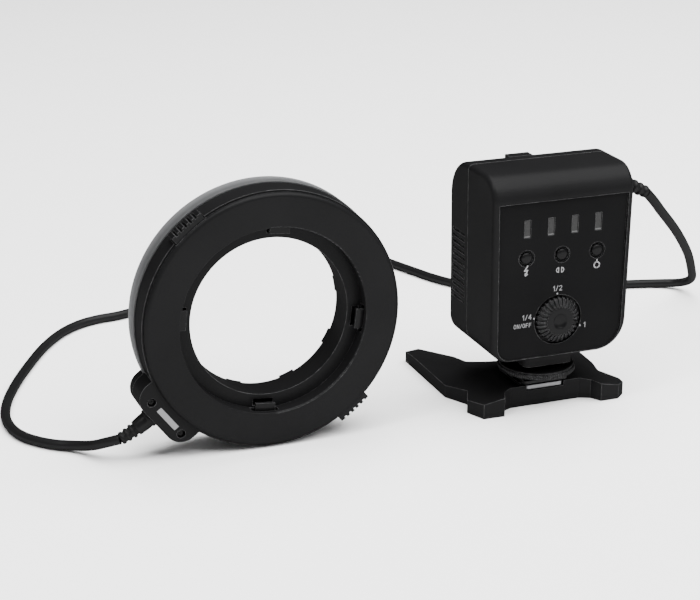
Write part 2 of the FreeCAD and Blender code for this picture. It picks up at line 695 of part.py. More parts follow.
def make_light():
    front = size.split_depth + size.board_thick
    node("led_board", tube("led_board_body", board_outer, board_inner,
                           size.split_depth, front), in_ring)
    emitters = []
    for index in range(24):
        half = size.led_side / 2
        emitter = box("led%d" % index, (led_circle - half, led_circle + half),
                      (-half, half), (front, front + size.led_height))
        emitters.append(turned(emitter, 15.0 * index + 7.5))
    node("leds", group("led_set", emitters), in_ring)
    diffuser = turning("diffuser", [
        (diffuser_radius - size.ring_wall, size.split_depth),
        (diffuser_radius, size.split_depth),
        (diffuser_radius, size.ring_depth),
        (size.bore_radius + 2.0, size.ring_depth),
        (size.bore_radius + 2.0, size.split_depth),
        (size.bore_radius + 3.6, size.split_depth),
        (size.bore_radius + 3.6, size.ring_depth - size.ring_wall),
        (diffuser_radius - size.ring_wall, size.ring_depth - size.ring_wall),
    ], rounds=[(2.5, diffuser_radius, size.ring_depth),
               (0.8, size.bore_radius + 2.0, size.ring_depth)])
    node("diffuser", diffuser, in_ring)


def make_release_frame(label, plate_back, button_angle, hook_angles):
    """One button and the two hooks on the far side, on an annular plate."""
    plate_front = plate_back + size.plate_thick
    parts = [tube(label + "_plate", plate_outer, plate_inner, plate_back, plate_front)]
    half = size.press_width / 2
    block = box(label + "_block", (press_inner, press_outer), (-half, half),
                (size.press_back, size.press_front))
    outer = cylinder(label + "_round", press_outer, size.press_back, size.press_front)
    inner = cylinder(label + "_hollow", press_inner, size.press_back - MARGIN,
                     size.press_front + MARGIN)
    button = cut(label + "_button", common(label + "_shaped", [block, outer]), [inner])
    count = int(float(size.serrations))
    grooves = []
    for index in range(count):
        along = (index - (count - 1) / 2) * (size.press_width / (size.serrations + 1.0))
        grooves.append(box("%s_groove%d" % (label, index),
                           (press_outer - 1.1, press_outer + MARGIN),
                           (along - 0.55, along + 0.55),
                           (size.press_back - MARGIN, size.press_front + MARGIN)))
    button = cut(label + "_serrated", button, grooves)
    neck = box(label + "_neck", (plate_outer - 1.0, press_inner + 0.6), (-5.0, 5.0),
               (plate_back, plate_front))
    parts.append(turned(fuse(label + "_push", [button, neck]), button_angle))
    wall_outer = recess_radius + size.hook_room
    for index, angle in enumerate(hook_angles):
        half_hook = size.hook_width / 2
        hook_front = size.hook_depth + size.plate_thick
        hook = box("%s_hook%d" % (label, index), (hook_radius, wall_outer),
                   (-half_hook, half_hook), (size.hook_depth, hook_front))
        wall = box("%s_wall%d" % (label, index), (wall_outer - size.hook_wall, wall_outer),
                   (-half_hook, half_hook), (size.plate_one, plate_front))
        arm = box("%s_arm%d" % (label, index), (wall_outer - size.hook_wall, plate_inner + 0.6),
                  (-half_hook, half_hook), (plate_back, plate_front))
        parts.append(turned(fuse("%s_catch%d" % (label, index), [hook, wall, arm]), angle))
    node(label, fuse(label + "_body", parts), in_ring)


def make_release_springs(label, middle, button_angle):
    """Two return springs between the recess wall and the frame's plate."""
    springs = []
    for index, side in enumerate((-1, 1)):
        spring = tube("%s_coil%d" % (label, index), size.spring_radius, size.spring_radius - 0.5,
                      floor_outer - 1.8, plate_inner - 2.6, axis="x",
                      at=(side * size.spring_spread, middle))
        springs.append(turned(spring, button_angle))
    node(label, group(label + "_pair", springs), in_ring)


def make_relief(label, length, root_length):
    """A ribbed strain relief along its own Z, from inside its wall to the cord."""
    profile = [(0.0, -root_length), (size.relief_collar - 0.1, -root_length),
               (size.relief_collar - 0.1, 0.0), (size.relief_root, 0.0)]
    ribs = 4
    for index in range(ribs):
        share = (index + 1) / (ribs + 1)
        low = length * (share - 0.06)
        high = length * (share + 0.06)
        wide = size.relief_root + (size.relief_tip - size.relief_root) * share + 0.25
        slim = wide - 0.9
        profile += [(slim, low), (wide, low), (wide, high), (slim, high)]
    profile += [(size.relief_tip - 0.4, length), (0.0, length)]
    return turning(label, profile)


def relief_frame(start, direction):
    """A setting for a strain relief: its root at a point, along a direction."""
    def frame(item):
        turn = FreeCAD.Rotation(FreeCAD.Vector(0, 0, 1), FreeCAD.Vector(*[float(c) for c in direction]))
        item.Placement = FreeCAD.Placement(FreeCAD.Vector(), turn)
        for letter, value in zip("xyz", start):
            bind(item, "Placement.Base." + letter, value)
    return frame


head_direction = (cosine(size.boss_angle), as_size(0.0), sine(size.boss_angle))
head_root = (size.ring_x + boss_reach * head_direction[0]
             + size.relief_shift * head_direction[2],
             size.ring_back + size.cord_depth,
             diffuser_radius + boss_reach * head_direction[2]
             - size.relief_shift * head_direction[0])
case_direction = (cosine(size.case_exit_slope), as_size(0.0), sine(size.case_exit_slope))
case_root = (size.case_half + 1.3, as_size(0.0), size.case_exit_z)


def along(start, direction, distance):
    """A point at a distance from the start, in the direction given."""
    return FreeCAD.Vector(*[float(place) + float(share) * float(distance)
                            for place, share in zip(start, direction)])


def cord_path(points):
    """Straight runs joined by tangent arcs, and the radius of each arc."""
    edges = []
    radii = []
    start = points[0]
    for before, here, after in zip(points, points[1:], points[2:]):
        back = (before - here)
        ahead = (after - here)
        shorter = min(back.Length, ahead.Length)
        half_turn = (math.pi - back.getAngle(ahead)) / 2
        trim = 0.45 * shorter
        radii.append(trim / math.tan(half_turn))
        first = here + back.normalize() * trim
        last = here + ahead.normalize() * trim
        middle_way = (back + ahead).normalize()
        centre = here + middle_way * (radii[-1] / math.cos(half_turn))
        middle = centre - middle_way * radii[-1]
        edges.append(Part.LineSegment(start, first).toShape())
        edges.append(Part.Arc(first, middle, last).toShape())
        start = last
    edges.append(Part.LineSegment(start, points[-1]).toShape())
    return Part.Wire(edges), radii


def make_cord():
    head_tip = along(head_root, head_direction, size.head_relief_length)
    case_tip = along(case_root, case_direction, size.case_relief_length)
    points = [head_tip, along(head_tip, head_direction, HEAD_EXIT_RUN)]
    points += [FreeCAD.Vector(*place) for place in CORD_ROUTE]
    points += [along(case_tip, case_direction, CASE_EXIT_RUN), case_tip]
    path, radii = cord_path(points)
    start = Part.Wire(Part.Circle(points[0], points[1] - points[0],
                                  float(size.cord_radius)).toShape())
    solid = path.makePipeShell([start], True, False, 0)
    area = math.pi * float(size.cord_radius) ** 2
    print("cord length %.1f" % path.Length,
          "volume over section times length %.4f" % (solid.Volume / (area * path.Length)))
    print("cord radii", " ".join("%.0f" % radius for radius in radii))
    print("cord ends", [round(value, 2) for value in head_tip], [round(value, 2) for value in case_tip])
    item = document.addObject("Part::Feature", "cord_solid")
    item.Shape = solid
    node("cord", item)


# Controller case
def case_form(name, inset):
    """The outside of the case, or its hollow when inset by the wall."""
    low = size.case_bottom + inset
    high = size.case_top - inset
    form = slab(name + "_block", "XZ_Plane", [
        (-size.case_half_low + inset, low), (size.case_half_low - inset, low),
        (size.case_half - inset, high), (-size.case_half + inset, high),
    ], size.case_front + inset, size.case_rear - inset)
    corners = lower_corners(name, form, low, size.left_corner - inset, size.right_corner - inset)
    rear = rounded(name + "_rear", corners, size.rear_round - inset,
                   lambda edge: parallel(edge, "x") and near(edge.CenterOfMass.z, high)
                   and near(edge.CenterOfMass.y, size.case_rear - inset))
    front = rounded(name + "_front", rear, size.front_round - inset,
                    lambda edge: parallel(edge, "x") and near(edge.CenterOfMass.z, high)
                    and near(edge.CenterOfMass.y, size.case_front + inset))
    return front


def lower_corners(name, form, low, left, right):
    """Round the two lower corners of an outline, each with its own radius."""
    one = rounded(name + "_left", form, left,
                  lambda edge: parallel(edge, "y") and near(edge.CenterOfMass.z, low)
                  and edge.CenterOfMass.x < 0)
    return rounded(name + "_right", one, right,
                   lambda edge: parallel(edge, "y") and near(edge.CenterOfMass.z, low)
                   and edge.CenterOfMass.x > 0)


def on_case_end(edge):
    """Whether an edge runs round the case's front or rear face, or along its shoulders."""
    middle = edge.CenterOfMass
    if near(middle.y, size.case_front) or near(middle.y, size.case_rear):
        return not parallel(edge, "x") or near(middle.z, size.case_bottom)
    shoulder = float(size.case_top - size.rear_round)
    return abs(middle.x) > float(size.case_half_low) and middle.z > shoulder


def make_case():
    outside = rounded("case_outside_edges", case_form("case_outside", as_size(0.0)),
                      size.end_round, on_case_end)
    inside = case_form("case_inside", size.case_wall)
    wide = size.case_half + 10.0
    depths = (size.case_front - 10.0, size.case_split - size.cover_clear / 2)
    heights = (size.case_bottom - 10.0, size.case_top + 10.0)
    front_half = common("front_half", [outside, box("front_region", (-wide, wide), depths, heights)])
    panel_front = size.case_front + size.panel_sink
    panel_back = panel_front + size.panel_thick
    wall_back = panel_back + size.case_wall
    front_wall = common("front_wall", [outside, box("front_wall_region", (-wide, wide),
                                                    (size.case_front, wall_back), heights)])
    shell = cut("front_shell_hollow", front_half, [inside])
    posts = []
    for index, (x, z) in enumerate(case_screw_places()):
        posts.append(tube("case_post%d" % index, 2.1, 1.2, wall_back - 0.5, size.case_split - 4.0,
                          axis="y", at=(x, z)))
    shell = fuse("front_shell_walled", [shell, front_wall] + posts)
    seat = panel_outline("panel_seat", size.case_front - MARGIN, panel_back, as_size(0.0))
    tools = [seat]
    tools += control_holes("shell", panel_back - MARGIN, wall_back + MARGIN, size.control_clear)
    tools.append(cylinder("case_cord_hole", size.relief_collar + 1.0, size.case_half - 6.0,
                          size.case_half + MARGIN, axis="x", at=(0.0, size.case_exit_z + 0.9)))
    tools.append(cylinder("post_hole", size.stem_radius * 0.5, size.case_bottom - MARGIN,
                          size.case_bottom + size.case_wall + MARGIN))
    node("front_shell", cut("front_shell_body", shell, tools))

    panel = panel_outline("panel_blank", panel_front, panel_back, size.control_clear / 2)
    holes = control_holes("panel", panel_front - MARGIN, panel_back + MARGIN, size.control_clear)
    for index, column in enumerate((-1, 0, 1)):
        holes.append(cylinder("button_recess%d" % index, size.button_well, panel_front - MARGIN,
                              panel_front + 1.0, axis="y",
                              at=(column * size.button_pitch, size.button_z)))
    holes.append(cylinder("dial_recess", size.dial_well, panel_front - MARGIN, panel_back + MARGIN,
                          axis="y", at=(size.dial_x, size.dial_z)))
    node("control_panel", cut("control_panel_body", panel, holes))

    depths = (size.case_split + size.cover_clear / 2, size.case_rear + 10.0)
    rear_half = common("rear_half", [outside, box("rear_region", (-wide, wide), depths, heights)])
    cover = cut("battery_cover_hollow", rear_half, [inside])
    grooves = []
    for index in range(int(float(size.grip_count))):
        level = size.grip_top - size.grip_pitch * (index + 0.5)
        for side, (low, high) in (("left", (-wide, -size.case_half_low + size.grip_sink - 0.2)),
                                  ("right", (size.case_half_low - size.grip_sink + 0.2, wide))):
            grooves.append(box("grip_%s%d" % (side, index), (low, high),
                               (size.case_split + 3.0, size.case_rear - 4.0),
                               (level - size.grip_slot / 2, level + size.grip_slot / 2)))
    cover = cut("battery_cover_ribbed", cover, grooves)
    thumb = slab("thumb_block", "XZ_Plane", [
        (-size.thumb_left, size.case_top - size.thumb_deep),
        (size.thumb_right, size.case_top - size.thumb_deep),
        (size.thumb_right - size.thumb_lean, size.case_top - size.thumb_low),
        (-size.thumb_left, size.case_top - size.thumb_low),
    ], size.case_rear - 10.0, size.case_rear - 10.0 + size.thumb_rise)
    thumb = cut("thumb_trimmed", thumb, [inside])
    node("battery_cover", fuse("battery_cover_body", [cover, thumb]))


def panel_outline(name, low, high, inset):
    """The control panel's outline between two depths, with round lower corners."""
    lower = size.case_bottom + 0.9 + inset
    half_low = size.case_half_low - size.panel_rim + inset * -1
    half_high = size.case_half - size.panel_rim - inset
    form = slab(name + "_block", "XZ_Plane", [
        (-half_low, lower), (half_low, lower),
        (half_high, size.panel_top - inset), (-half_high, size.panel_top - inset),
    ], low, high)
    return lower_corners(name, form, lower, size.panel_left_corner - inset,
                         size.panel_right_corner - inset)


def control_holes(prefix, low, high, clearance):
    """Holes for the windows, the push buttons and the dial's hub."""
    holes = []
    for index in range(4):
        middle = size.window_pitch * (index - 1.5)
        half = size.window_width / 2 + clearance / 4
        tall = size.window_height / 2 + clearance / 4
        holes.append(box("%s_window%d" % (prefix, index), (middle - half, middle + half),
                         (low, high), (size.window_z - tall, size.window_z + tall)))
    for index, column in enumerate((-1, 0, 1)):
        holes.append(cylinder("%s_button%d" % (prefix, index), size.button_radius + clearance,
                              low, high, axis="y",
                              at=(column * size.button_pitch, size.button_z)))
    holes.append(cylinder(prefix + "_hub", size.shaft_radius + 2.0 + clearance, low, high, axis="y",
                          at=(size.dial_x, size.dial_z)))
    return holes


def make_controls():
    panel_front = size.case_front + size.panel_sink
    panel_back = panel_front + size.panel_thick
    wall_back = panel_back + size.case_wall
    guides = []
    for index in range(4):
        middle = size.window_pitch * (index - 1.5)
        half = size.window_width / 2
        tall = size.window_height / 2
        light = box("guide%d" % index, (middle - half, middle + half),
                    (panel_front + 0.3, wall_back + 1.0), (size.window_z - tall, size.window_z + tall))
        foot = box("guide_foot%d" % index, (middle - half - 1.0, middle + half + 1.0),
                   (wall_back, wall_back + 1.0),
                   (size.window_z - tall - 1.0, size.window_z + tall + 1.0))
        guides.append(fuse("guide_whole%d" % index, [light, foot]))
    node("light_guides", group("light_guide_set", guides))

    switch_front = size.board_y - 3.0
    for column, side in ((-1, "left"), (0, "middle"), (1, "right")):
        at = (column * size.button_pitch, size.button_z)
        cap = cylinder("cap_" + side, size.button_radius, panel_front - 0.2, wall_back + 0.5,
                       axis="y", at=at)
        crown = document.addObject("Part::Sphere", "crown_" + side)
        bind(crown, "Radius", size.button_radius * 2.2)
        bind(crown, "Placement.Base.x", at[0])
        bind(crown, "Placement.Base.y", panel_front - 0.6 + size.button_radius * 2.2)
        bind(crown, "Placement.Base.z", at[1])
        tall_cap = cylinder("tall_cap_" + side, size.button_radius, panel_front - 1.0,
                            wall_back + 0.5, axis="y", at=at)
        dome = common("dome_" + side, [crown, tall_cap])
        flange = cylinder("flange_" + side, size.button_flange, wall_back, wall_back + 0.8,
                          axis="y", at=at)
        stem = cylinder("stem_" + side, 1.2, wall_back, switch_front - size.button_travel,
                        axis="y", at=at)
        node("button_" + side, fuse("button_body_" + side, [cap, dome, flange, stem]))

    switches = []
    for column in (-1, 0, 1):
        middle = column * size.button_pitch
        case = box("switch_case%d" % (column + 1), (middle - 3.0, middle + 3.0),
                   (switch_front + 0.6, size.board_y), (size.button_z - 3.0, size.button_z + 3.0))
        plunger = cylinder("switch_plunger%d" % (column + 1), 1.5, switch_front, switch_front + 1.0,
                           axis="y", at=(middle, size.button_z))
        switches.append(fuse("switch%d" % (column + 1), [case, plunger]))
    node("tact_switches", group("switch_set", switches))

    lamps = []
    for index in range(4):
        middle = size.window_pitch * (index - 1.5)
        lamps.append(box("lamp%d" % index, (middle - 1.0, middle + 1.0),
                         (size.board_y - 1.0, size.board_y),
                         (size.window_z - 1.6, size.window_z + 1.6)))
    node("indicator_leds", group("lamp_set", lamps))

    board = box("board_blank", (-size.board_half, size.board_half),
                (size.board_y, size.board_y + size.board_thick), (size.board_low, size.board_high))
    node("main_board", cut("main_board_body", board,
                           [cylinder("board_relief%d" % index, 2.2, size.board_y - MARGIN,
                                     size.board_y + size.board_thick + MARGIN, axis="y",
                                     at=(x, z))
                            for index, (x, z) in enumerate(case_screw_places())]))
    at = (size.dial_x, size.dial_z)
    can = box("pot_case", (size.dial_x - 4.8, size.dial_x + 4.8),
              (wall_back + 0.6, size.board_y), (size.dial_z - 5.0, size.dial_z + 5.0))
    shaft = cylinder("pot_shaft", size.shaft_radius, panel_back - 2.0, wall_back + 1.0, axis="y", at=at)
    node("potentiometer", fuse("pot_body", [can, shaft]))


def notched(body, name, radius, depth, half, count):
    """Cut a row of equal notches round a turned body's rim."""
    sketch = body.newObject("Sketcher::SketchObject", name + "_sketch")
    sketch.AttachmentSupport = [(body_plane(body, "XY_Plane"), "")]
    sketch.MapMode = "FlatFace"
    corners = [(radius - depth, as_size(0.0)), (radius + 0.5, half * -1.0), (radius + 0.5, half)]
    points = [FreeCAD.Vector(float(across), float(away), 0) for across, away in corners]
    for index in range(3):
        sketch.addGeometry(Part.LineSegment(points[index], points[(index + 1) % 3]))
    for index in range(3):
        sketch.addConstraint(Sketcher.Constraint("Coincident", index, 2, (index + 1) % 3, 1))
    for index, (across, away) in enumerate(corners):
        for kind, value in (("DistanceX", across), ("DistanceY", away)):
            place = sketch.addConstraint(Sketcher.Constraint(kind, -1, 1, index, 1, float(value)))
            sketch.setExpression("Constraints[%d]" % place, value.text)
    notch = body.newObject("PartDesign::Pocket", name + "_cut")
    notch.Profile = sketch
    notch.Type = "ThroughAll"
    notch.Midplane = True
    document.recompute()
    pattern = body.newObject("PartDesign::PolarPattern", name + "_row")
    pattern.Originals = [notch]
    pattern.Axis = (sketch, ["N_Axis"])
    pattern.Angle = 360
    bind(pattern, "Occurrences", count)
    body.Tip = pattern


def make_dial():
    """The knob turns on the potentiometer's shaft, drawn with local Z out of the panel."""
    panel_back = size.case_front + size.panel_sink + size.panel_thick
    top = size.dial_height
    knob = turning("dial_turned", [
        (size.shaft_radius + size.shaft_fit, -1.8),
        (size.shaft_radius + 2.0, -1.8),
        (size.shaft_radius + 2.0, 0.2),
        (size.dial_radius, 0.2),
        (size.dial_radius, top - 1.6),
        (size.dial_radius - 2.4, top),
        (size.dial_dimple, top),
        (size.dial_dimple - 0.8, top - 0.8),
        (0.0, top - 0.8),
        (0.0, 2.1),
        (size.shaft_radius + size.shaft_fit, 2.1),
    ])
    notched(knob, "dial_notch", size.dial_radius, size.dial_notch, size.dial_notch_half,
            size.dial_ribs)

    def frame(item):
        item.Placement = FreeCAD.Placement(
            FreeCAD.Vector(), FreeCAD.Rotation(FreeCAD.Vector(1, 0, 0), 90))
        bind(item, "Placement.Base.x", size.dial_x)
        bind(item, "Placement.Base.y", panel_back)
        bind(item, "Placement.Base.z", size.dial_z)
    node("dial", knob, frame)


def case_screw_places():
    """Four screws from the battery side into posts of the front shell."""
    across = size.case_half_low - 6.5
    return [(-across, size.board_low + 8.0), (across, size.board_low + 8.0),
            (-across, size.board_high - 6.0), (across, size.board_high - 6.0)]


def make_battery():
    cells = []
    middles = [size.cell_pitch * (index - 1.5) for index in range(4)]
    top = size.cell_bottom + size.cell_length
    for index, middle in enumerate(middles):
        can = cylinder("cell_can%d" % index, size.cell_radius, size.cell_bottom, top - 1.0,
                       at=(middle, size.cell_y))
        cap = cylinder("cell_cap%d" % index, 2.7, top - 1.2, top, at=(middle, size.cell_y))
        cells.append(fuse("cell%d" % index, [can, cap]))
    node("cells", group("cell_set", cells))

    half = size.cell_pitch * 2 + 0.4
    floor = size.cell_bottom - size.contact_space
    ceiling = top + size.contact_space / 2
    blank = box("battery_box_blank", (-half - size.box_wall, half + size.box_wall),
                (size.case_split - 2.0, size.cell_y + 6.0),
                (floor - size.box_wall, ceiling + size.box_wall))
    room = box("battery_box_room", (-half, half),
               (size.cell_y - size.cell_radius - 0.2, size.cell_y + 20.0), (floor, ceiling))
    swept = case_form("cover_sweep", size.case_wall + 0.3)
    raised = document.addObject("Part::Compound", "cover_sweep_raised")
    raised.Links = [swept]
    bind(raised, "Placement.Base.z", size.cover_travel)
    tray = cut("battery_tray", blank, [room])
    node("battery_box", common("battery_box_body", [tray, raised]))

    plates = []
    springs = []
    for index, middle in enumerate(middles):
        sides = (middle - size.contact_half, middle + size.contact_half)
        depths = (size.cell_y - size.contact_half, size.cell_y + size.contact_half)
        plates.append(box("contact_low%d" % index, sides, depths, (floor, floor + 0.4)))
        plates.append(box("contact_high%d" % index, sides, depths, (ceiling - 0.4, ceiling)))
        springs.append(tube("contact_spring%d" % index, 3.6, 2.9, floor + 0.4, size.cell_bottom,
                            at=(middle, size.cell_y)))
        plates.append(cylinder("contact_nub%d" % index, 2.0, top, ceiling - 0.2,
                               at=(middle, size.cell_y)))
    node("battery_contacts", fuse("contact_set", plates))
    node("contact_springs", group("contact_spring_set", springs))

    screws = []
    for index, (x, z) in enumerate(case_screw_places()):
        head = cylinder("case_screw_head%d" % index, 2.3, size.case_split - 4.0,
                        size.case_split - 2.2, axis="y", at=(x, z))
        shank = cylinder("case_screw_shank%d" % index, 1.2, size.board_y - 3.0,
                         size.case_split - 3.0, axis="y", at=(x, z))
        screws.append(fuse("case_screw%d" % index, [head, shank]))
    node("case_screws", group("case_screw_set", screws))


def make_foot():
    block = box("foot_block_blank", (-size.block_half, size.block_half),
                (-size.block_depth, size.block_depth), (size.block_bottom, size.case_bottom))
    block = rounded("foot_block_round", block, 2.5, lambda edge: parallel(edge, "z"))
    node("foot_block", cut("foot_block_body", block,
                           [cylinder("block_bore", size.stem_radius, size.block_bottom - MARGIN,
                                     size.case_bottom + MARGIN)]))
    foot_top = size.foot_bottom + size.foot_thick
    node("foot_post", cylinder("foot_post_body", size.stem_radius, foot_top, size.case_bottom))
    plate = box("foot_plate_blank", (-size.foot_half, size.foot_half),
                (-size.foot_half, size.foot_half), (size.foot_bottom, foot_top))
    plate = rounded("foot_plate_round", plate, 1.0, lambda edge: parallel(edge, "z"))
    node("foot_plate", cut("foot_plate_body", plate,
                           [cylinder("pin_bore", 1.6, size.foot_bottom - MARGIN, foot_top + MARGIN)]))
    node("contact_pin", cylinder("contact_pin_body", 1.6, size.foot_bottom - 0.1, foot_top))

    clamp_top = size.clamp_bottom + size.clamp_thick
    plate = box("clamp_blank", (-size.clamp_half, size.clamp_half),
                (-size.clamp_half, size.clamp_half), (size.clamp_bottom, clamp_top))
    plate = rounded("clamp_round", plate, 1.5, lambda edge: parallel(edge, "z"))
    bore = size.stem_radius + size.stem_fit
    node("clamp_plate", cut("clamp_body", plate,
                            [cylinder("clamp_bore", bore, size.clamp_bottom - MARGIN,
                                      clamp_top + MARGIN)]))
    wheel = turning("wheel_turned", [
        (bore, clamp_top),
        (size.hub_radius, clamp_top),
        (size.hub_radius, size.wheel_bottom),
        (size.wheel_radius, size.wheel_bottom),
        (size.wheel_radius, size.wheel_top),
        (bore, size.wheel_top),
    ], rounds=[(0.6, size.wheel_radius, size.wheel_bottom), (0.6, size.wheel_radius, size.wheel_top)])
    notched(wheel, "wheel_knurl", size.wheel_radius, size.wheel_notch, size.wheel_notch_half,
            size.wheel_ribs)
    node("lock_wheel", wheel)


def stand_wire():
    """The stand's outline on the floor, with a round rear edge."""
    right = [FreeCAD.Vector(x, y, 0) for x, y in STAND_RIGHT]
    left = [FreeCAD.Vector(x, y, 0) for x, y in reversed(STAND_LEFT)]
    edges = [Part.LineSegment(a, b).toShape() for a, b in zip(right, right[1:])]
    edges.append(Part.Arc(right[-1], FreeCAD.Vector(0, STAND_ARC_REAR, 0), left[0]).toShape())
    edges += [Part.LineSegment(a, b).toShape() for a, b in zip(left, left[1:])]
    edges.append(Part.LineSegment(left[-1], right[0]).toShape())
    return Part.Wire(edges)


def make_stand():
    blank = document.addObject("Part::Feature", "stand_blank")
    blank.Shape = Part.Face(stand_wire()).extrude(FreeCAD.Vector(0, 0, float(size.stand_top)))
    # The top falls away to the front legs and to the rear legs
    front_slope = slab("front_slope", "XZ_Plane", [
        (18.0, size.stand_top), (42.0, size.stand_front - 0.9), (42.0, size.stand_top + 5.0),
        (18.0, size.stand_top + 5.0)], -40.0, 70.0)
    other_slope = slab("other_slope", "XZ_Plane", [
        (-18.0, size.stand_top), (-42.0, size.stand_front - 0.9), (-42.0, size.stand_top + 5.0),
        (-18.0, size.stand_top + 5.0)], -40.0, 70.0)
    rear_slope = document.addObject("Part::Wedge", "rear_slope")
    rear_slope.Xmin, rear_slope.Xmax, rear_slope.X2min, rear_slope.X2max = -45, 45, -45, 45
    rear_slope.Ymin, rear_slope.Ymax = 12, 70
    rear_slope.Zmin, rear_slope.Zmax = float(size.stand_top), float(size.stand_top) + 5
    rear_slope.Z2min, rear_slope.Z2max = float(size.stand_back) - 0.8, float(size.stand_top) + 5
    bind(rear_slope, "Zmin", size.stand_top)
    bind(rear_slope, "Zmax", size.stand_top + 5.0)
    bind(rear_slope, "Z2min", size.stand_back - 0.8)
    bind(rear_slope, "Z2max", size.stand_top + 5.0)
    rails = box("shoe_rails", (-size.shoe_half, size.shoe_half),
                (-size.foot_half + 1.4, size.foot_half + 2.5), (size.stand_top - 3.0, size.rail_top))
    rails = rounded("shoe_rails_round", rails, 1.0, lambda edge: parallel(edge, "z"))
    solid = fuse("stand_solid", [cut("stand_sloped", blank, [front_slope, other_slope, rear_slope]),
                                 rails])
    foot_top = size.foot_bottom + size.foot_thick
    slot = box("shoe_slot", (-size.foot_half - size.shoe_clear, size.foot_half + size.shoe_clear),
               (-40.0, size.foot_half + size.shoe_clear),
               (size.foot_bottom - size.shoe_clear, foot_top + size.shoe_clear / 2))
    throat = box("shoe_throat", (-size.rail_half, size.rail_half),
                 (-40.0, size.foot_half + size.shoe_clear),
                 (size.foot_bottom, size.rail_top + MARGIN))
    mouth = box("shoe_mouth", (-size.foot_half - size.shoe_clear, size.foot_half + size.shoe_clear),
                (-40.0, -size.foot_half + 1.4), (size.foot_bottom, size.rail_top + MARGIN))
    socket = cylinder("insert_bore", size.insert_radius, -MARGIN, size.insert_depth)
    node("stand_body", cut("stand_whole", solid, [slot, throat, mouth, socket]))
    node("tripod_insert", cut("insert_body",
                              cylinder("insert_blank", size.insert_radius, 0.0,
                                       size.insert_depth),
                              [cylinder("insert_thread", size.thread_radius, -MARGIN,
                                        size.thread_depth)]))


make_rear_cover()
make_front_housing()
make_boss_cover()
make_ring_screws()
make_label_plate()
make_light()
make_release_frame("release_frame_upper", size.plate_one, PRESS_ANGLES[0], HOOK_ANGLES_ONE)
make_release_frame("release_frame_lower", plate_two, PRESS_ANGLES[1], HOOK_ANGLES_TWO)
make_release_springs("release_springs_upper", size.plate_one + 0.9, PRESS_ANGLES[0])
make_release_springs("release_springs_lower", plate_two + 0.75, PRESS_ANGLES[1])
node("head_strain_relief", make_relief("head_relief", size.head_relief_length, as_size(3.0)),
     relief_frame(head_root, head_direction))
node("case_strain_relief", make_relief("case_relief", size.case_relief_length, as_size(4.2)),
     relief_frame(case_root, case_direction))
make_cord()
make_case()
make_controls()
make_dial()
make_battery()
make_foot()
make_stand()

document.recompute()
for item in document.Objects:
    if "Invalid" in item.State or "Error" in item.State:
        raise RuntimeError("%s did not build" % item.Label)
os.makedirs("parts", exist_ok=True)
for item in nodes:
    if item.Shape.isNull() or not item.Shape.isValid():
        raise RuntimeError("%s has no valid shape" % item.Label)
for item in nodes:
    item.Shape.exportStep("parts/%s.step" % item.Label)
print("%d sub-parts" % len(nodes))
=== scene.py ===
import json
import math

import bmesh
import bpy
from mathutils import Matrix, Vector


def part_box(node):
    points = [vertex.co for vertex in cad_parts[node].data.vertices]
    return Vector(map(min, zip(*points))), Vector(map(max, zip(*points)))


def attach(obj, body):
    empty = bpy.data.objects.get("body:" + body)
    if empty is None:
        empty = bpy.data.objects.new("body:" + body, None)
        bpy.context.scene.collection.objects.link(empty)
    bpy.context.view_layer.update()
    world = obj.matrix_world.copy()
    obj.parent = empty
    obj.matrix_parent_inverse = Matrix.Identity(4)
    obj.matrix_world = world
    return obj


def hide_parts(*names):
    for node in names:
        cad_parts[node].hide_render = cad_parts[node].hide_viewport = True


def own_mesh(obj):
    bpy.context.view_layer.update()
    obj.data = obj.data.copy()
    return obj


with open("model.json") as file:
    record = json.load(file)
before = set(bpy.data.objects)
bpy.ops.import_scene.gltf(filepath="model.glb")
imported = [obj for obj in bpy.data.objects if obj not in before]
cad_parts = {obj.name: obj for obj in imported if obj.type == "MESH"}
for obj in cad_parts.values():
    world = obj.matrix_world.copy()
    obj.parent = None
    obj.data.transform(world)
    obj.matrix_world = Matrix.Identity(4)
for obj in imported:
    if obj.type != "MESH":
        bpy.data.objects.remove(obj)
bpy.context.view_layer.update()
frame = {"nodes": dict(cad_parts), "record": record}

MM = 0.001
FULL_TURN = 2.0 * math.pi
WELD_DISTANCE = 1e-6

# Towards the camera's side, and to the right as it sees the part
FORWARD = (0.0, -1.0, 0.0)
RIGHTWARD = (1.0, 0.0, 0.0)

# The ring's axis runs along Y; its middle and its rear are read from the CAD
DIFFUSER_LOW, DIFFUSER_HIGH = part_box("diffuser")
RING_X = (DIFFUSER_LOW.x + DIFFUSER_HIGH.x) / 2
RING_Z = (DIFFUSER_LOW.z + DIFFUSER_HIGH.z) / 2
RING_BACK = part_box("rear_cover")[0].y


# Camera, at the photograph's angle
CAMERA_PLACE = Vector((-367.8, -717.7, 334.0)) * MM
CAMERA_AIM = Vector((0.3374, 0.8789, -0.3371))
CAMERA_ROLL = math.radians(0.14)
CAMERA_LENS = 95.76
CAMERA_SENSOR = 36.0
CAMERA_NEAR = 0.05


def make_camera():
    """The camera that sees the part as the photograph does."""
    data = bpy.data.cameras.new("camera")
    data.lens = CAMERA_LENS
    data.sensor_width = CAMERA_SENSOR
    data.clip_start = CAMERA_NEAR
    camera = bpy.data.objects.new("camera", data)
    turn = CAMERA_AIM.to_track_quat("-Z", "Y").to_matrix().to_4x4()
    camera.matrix_world = (Matrix.Translation(CAMERA_PLACE) @ turn
                           @ Matrix.Rotation(CAMERA_ROLL, 4, "Z"))
    bpy.context.collection.objects.link(camera)
    bpy.context.scene.camera = camera


# Ways to build a piece as a mesh, whose edges stay sharp above an angle in degrees
SHARP, SHARP_TURNED, SHARP_RUBBER = 35.0, 40.0, 50.0


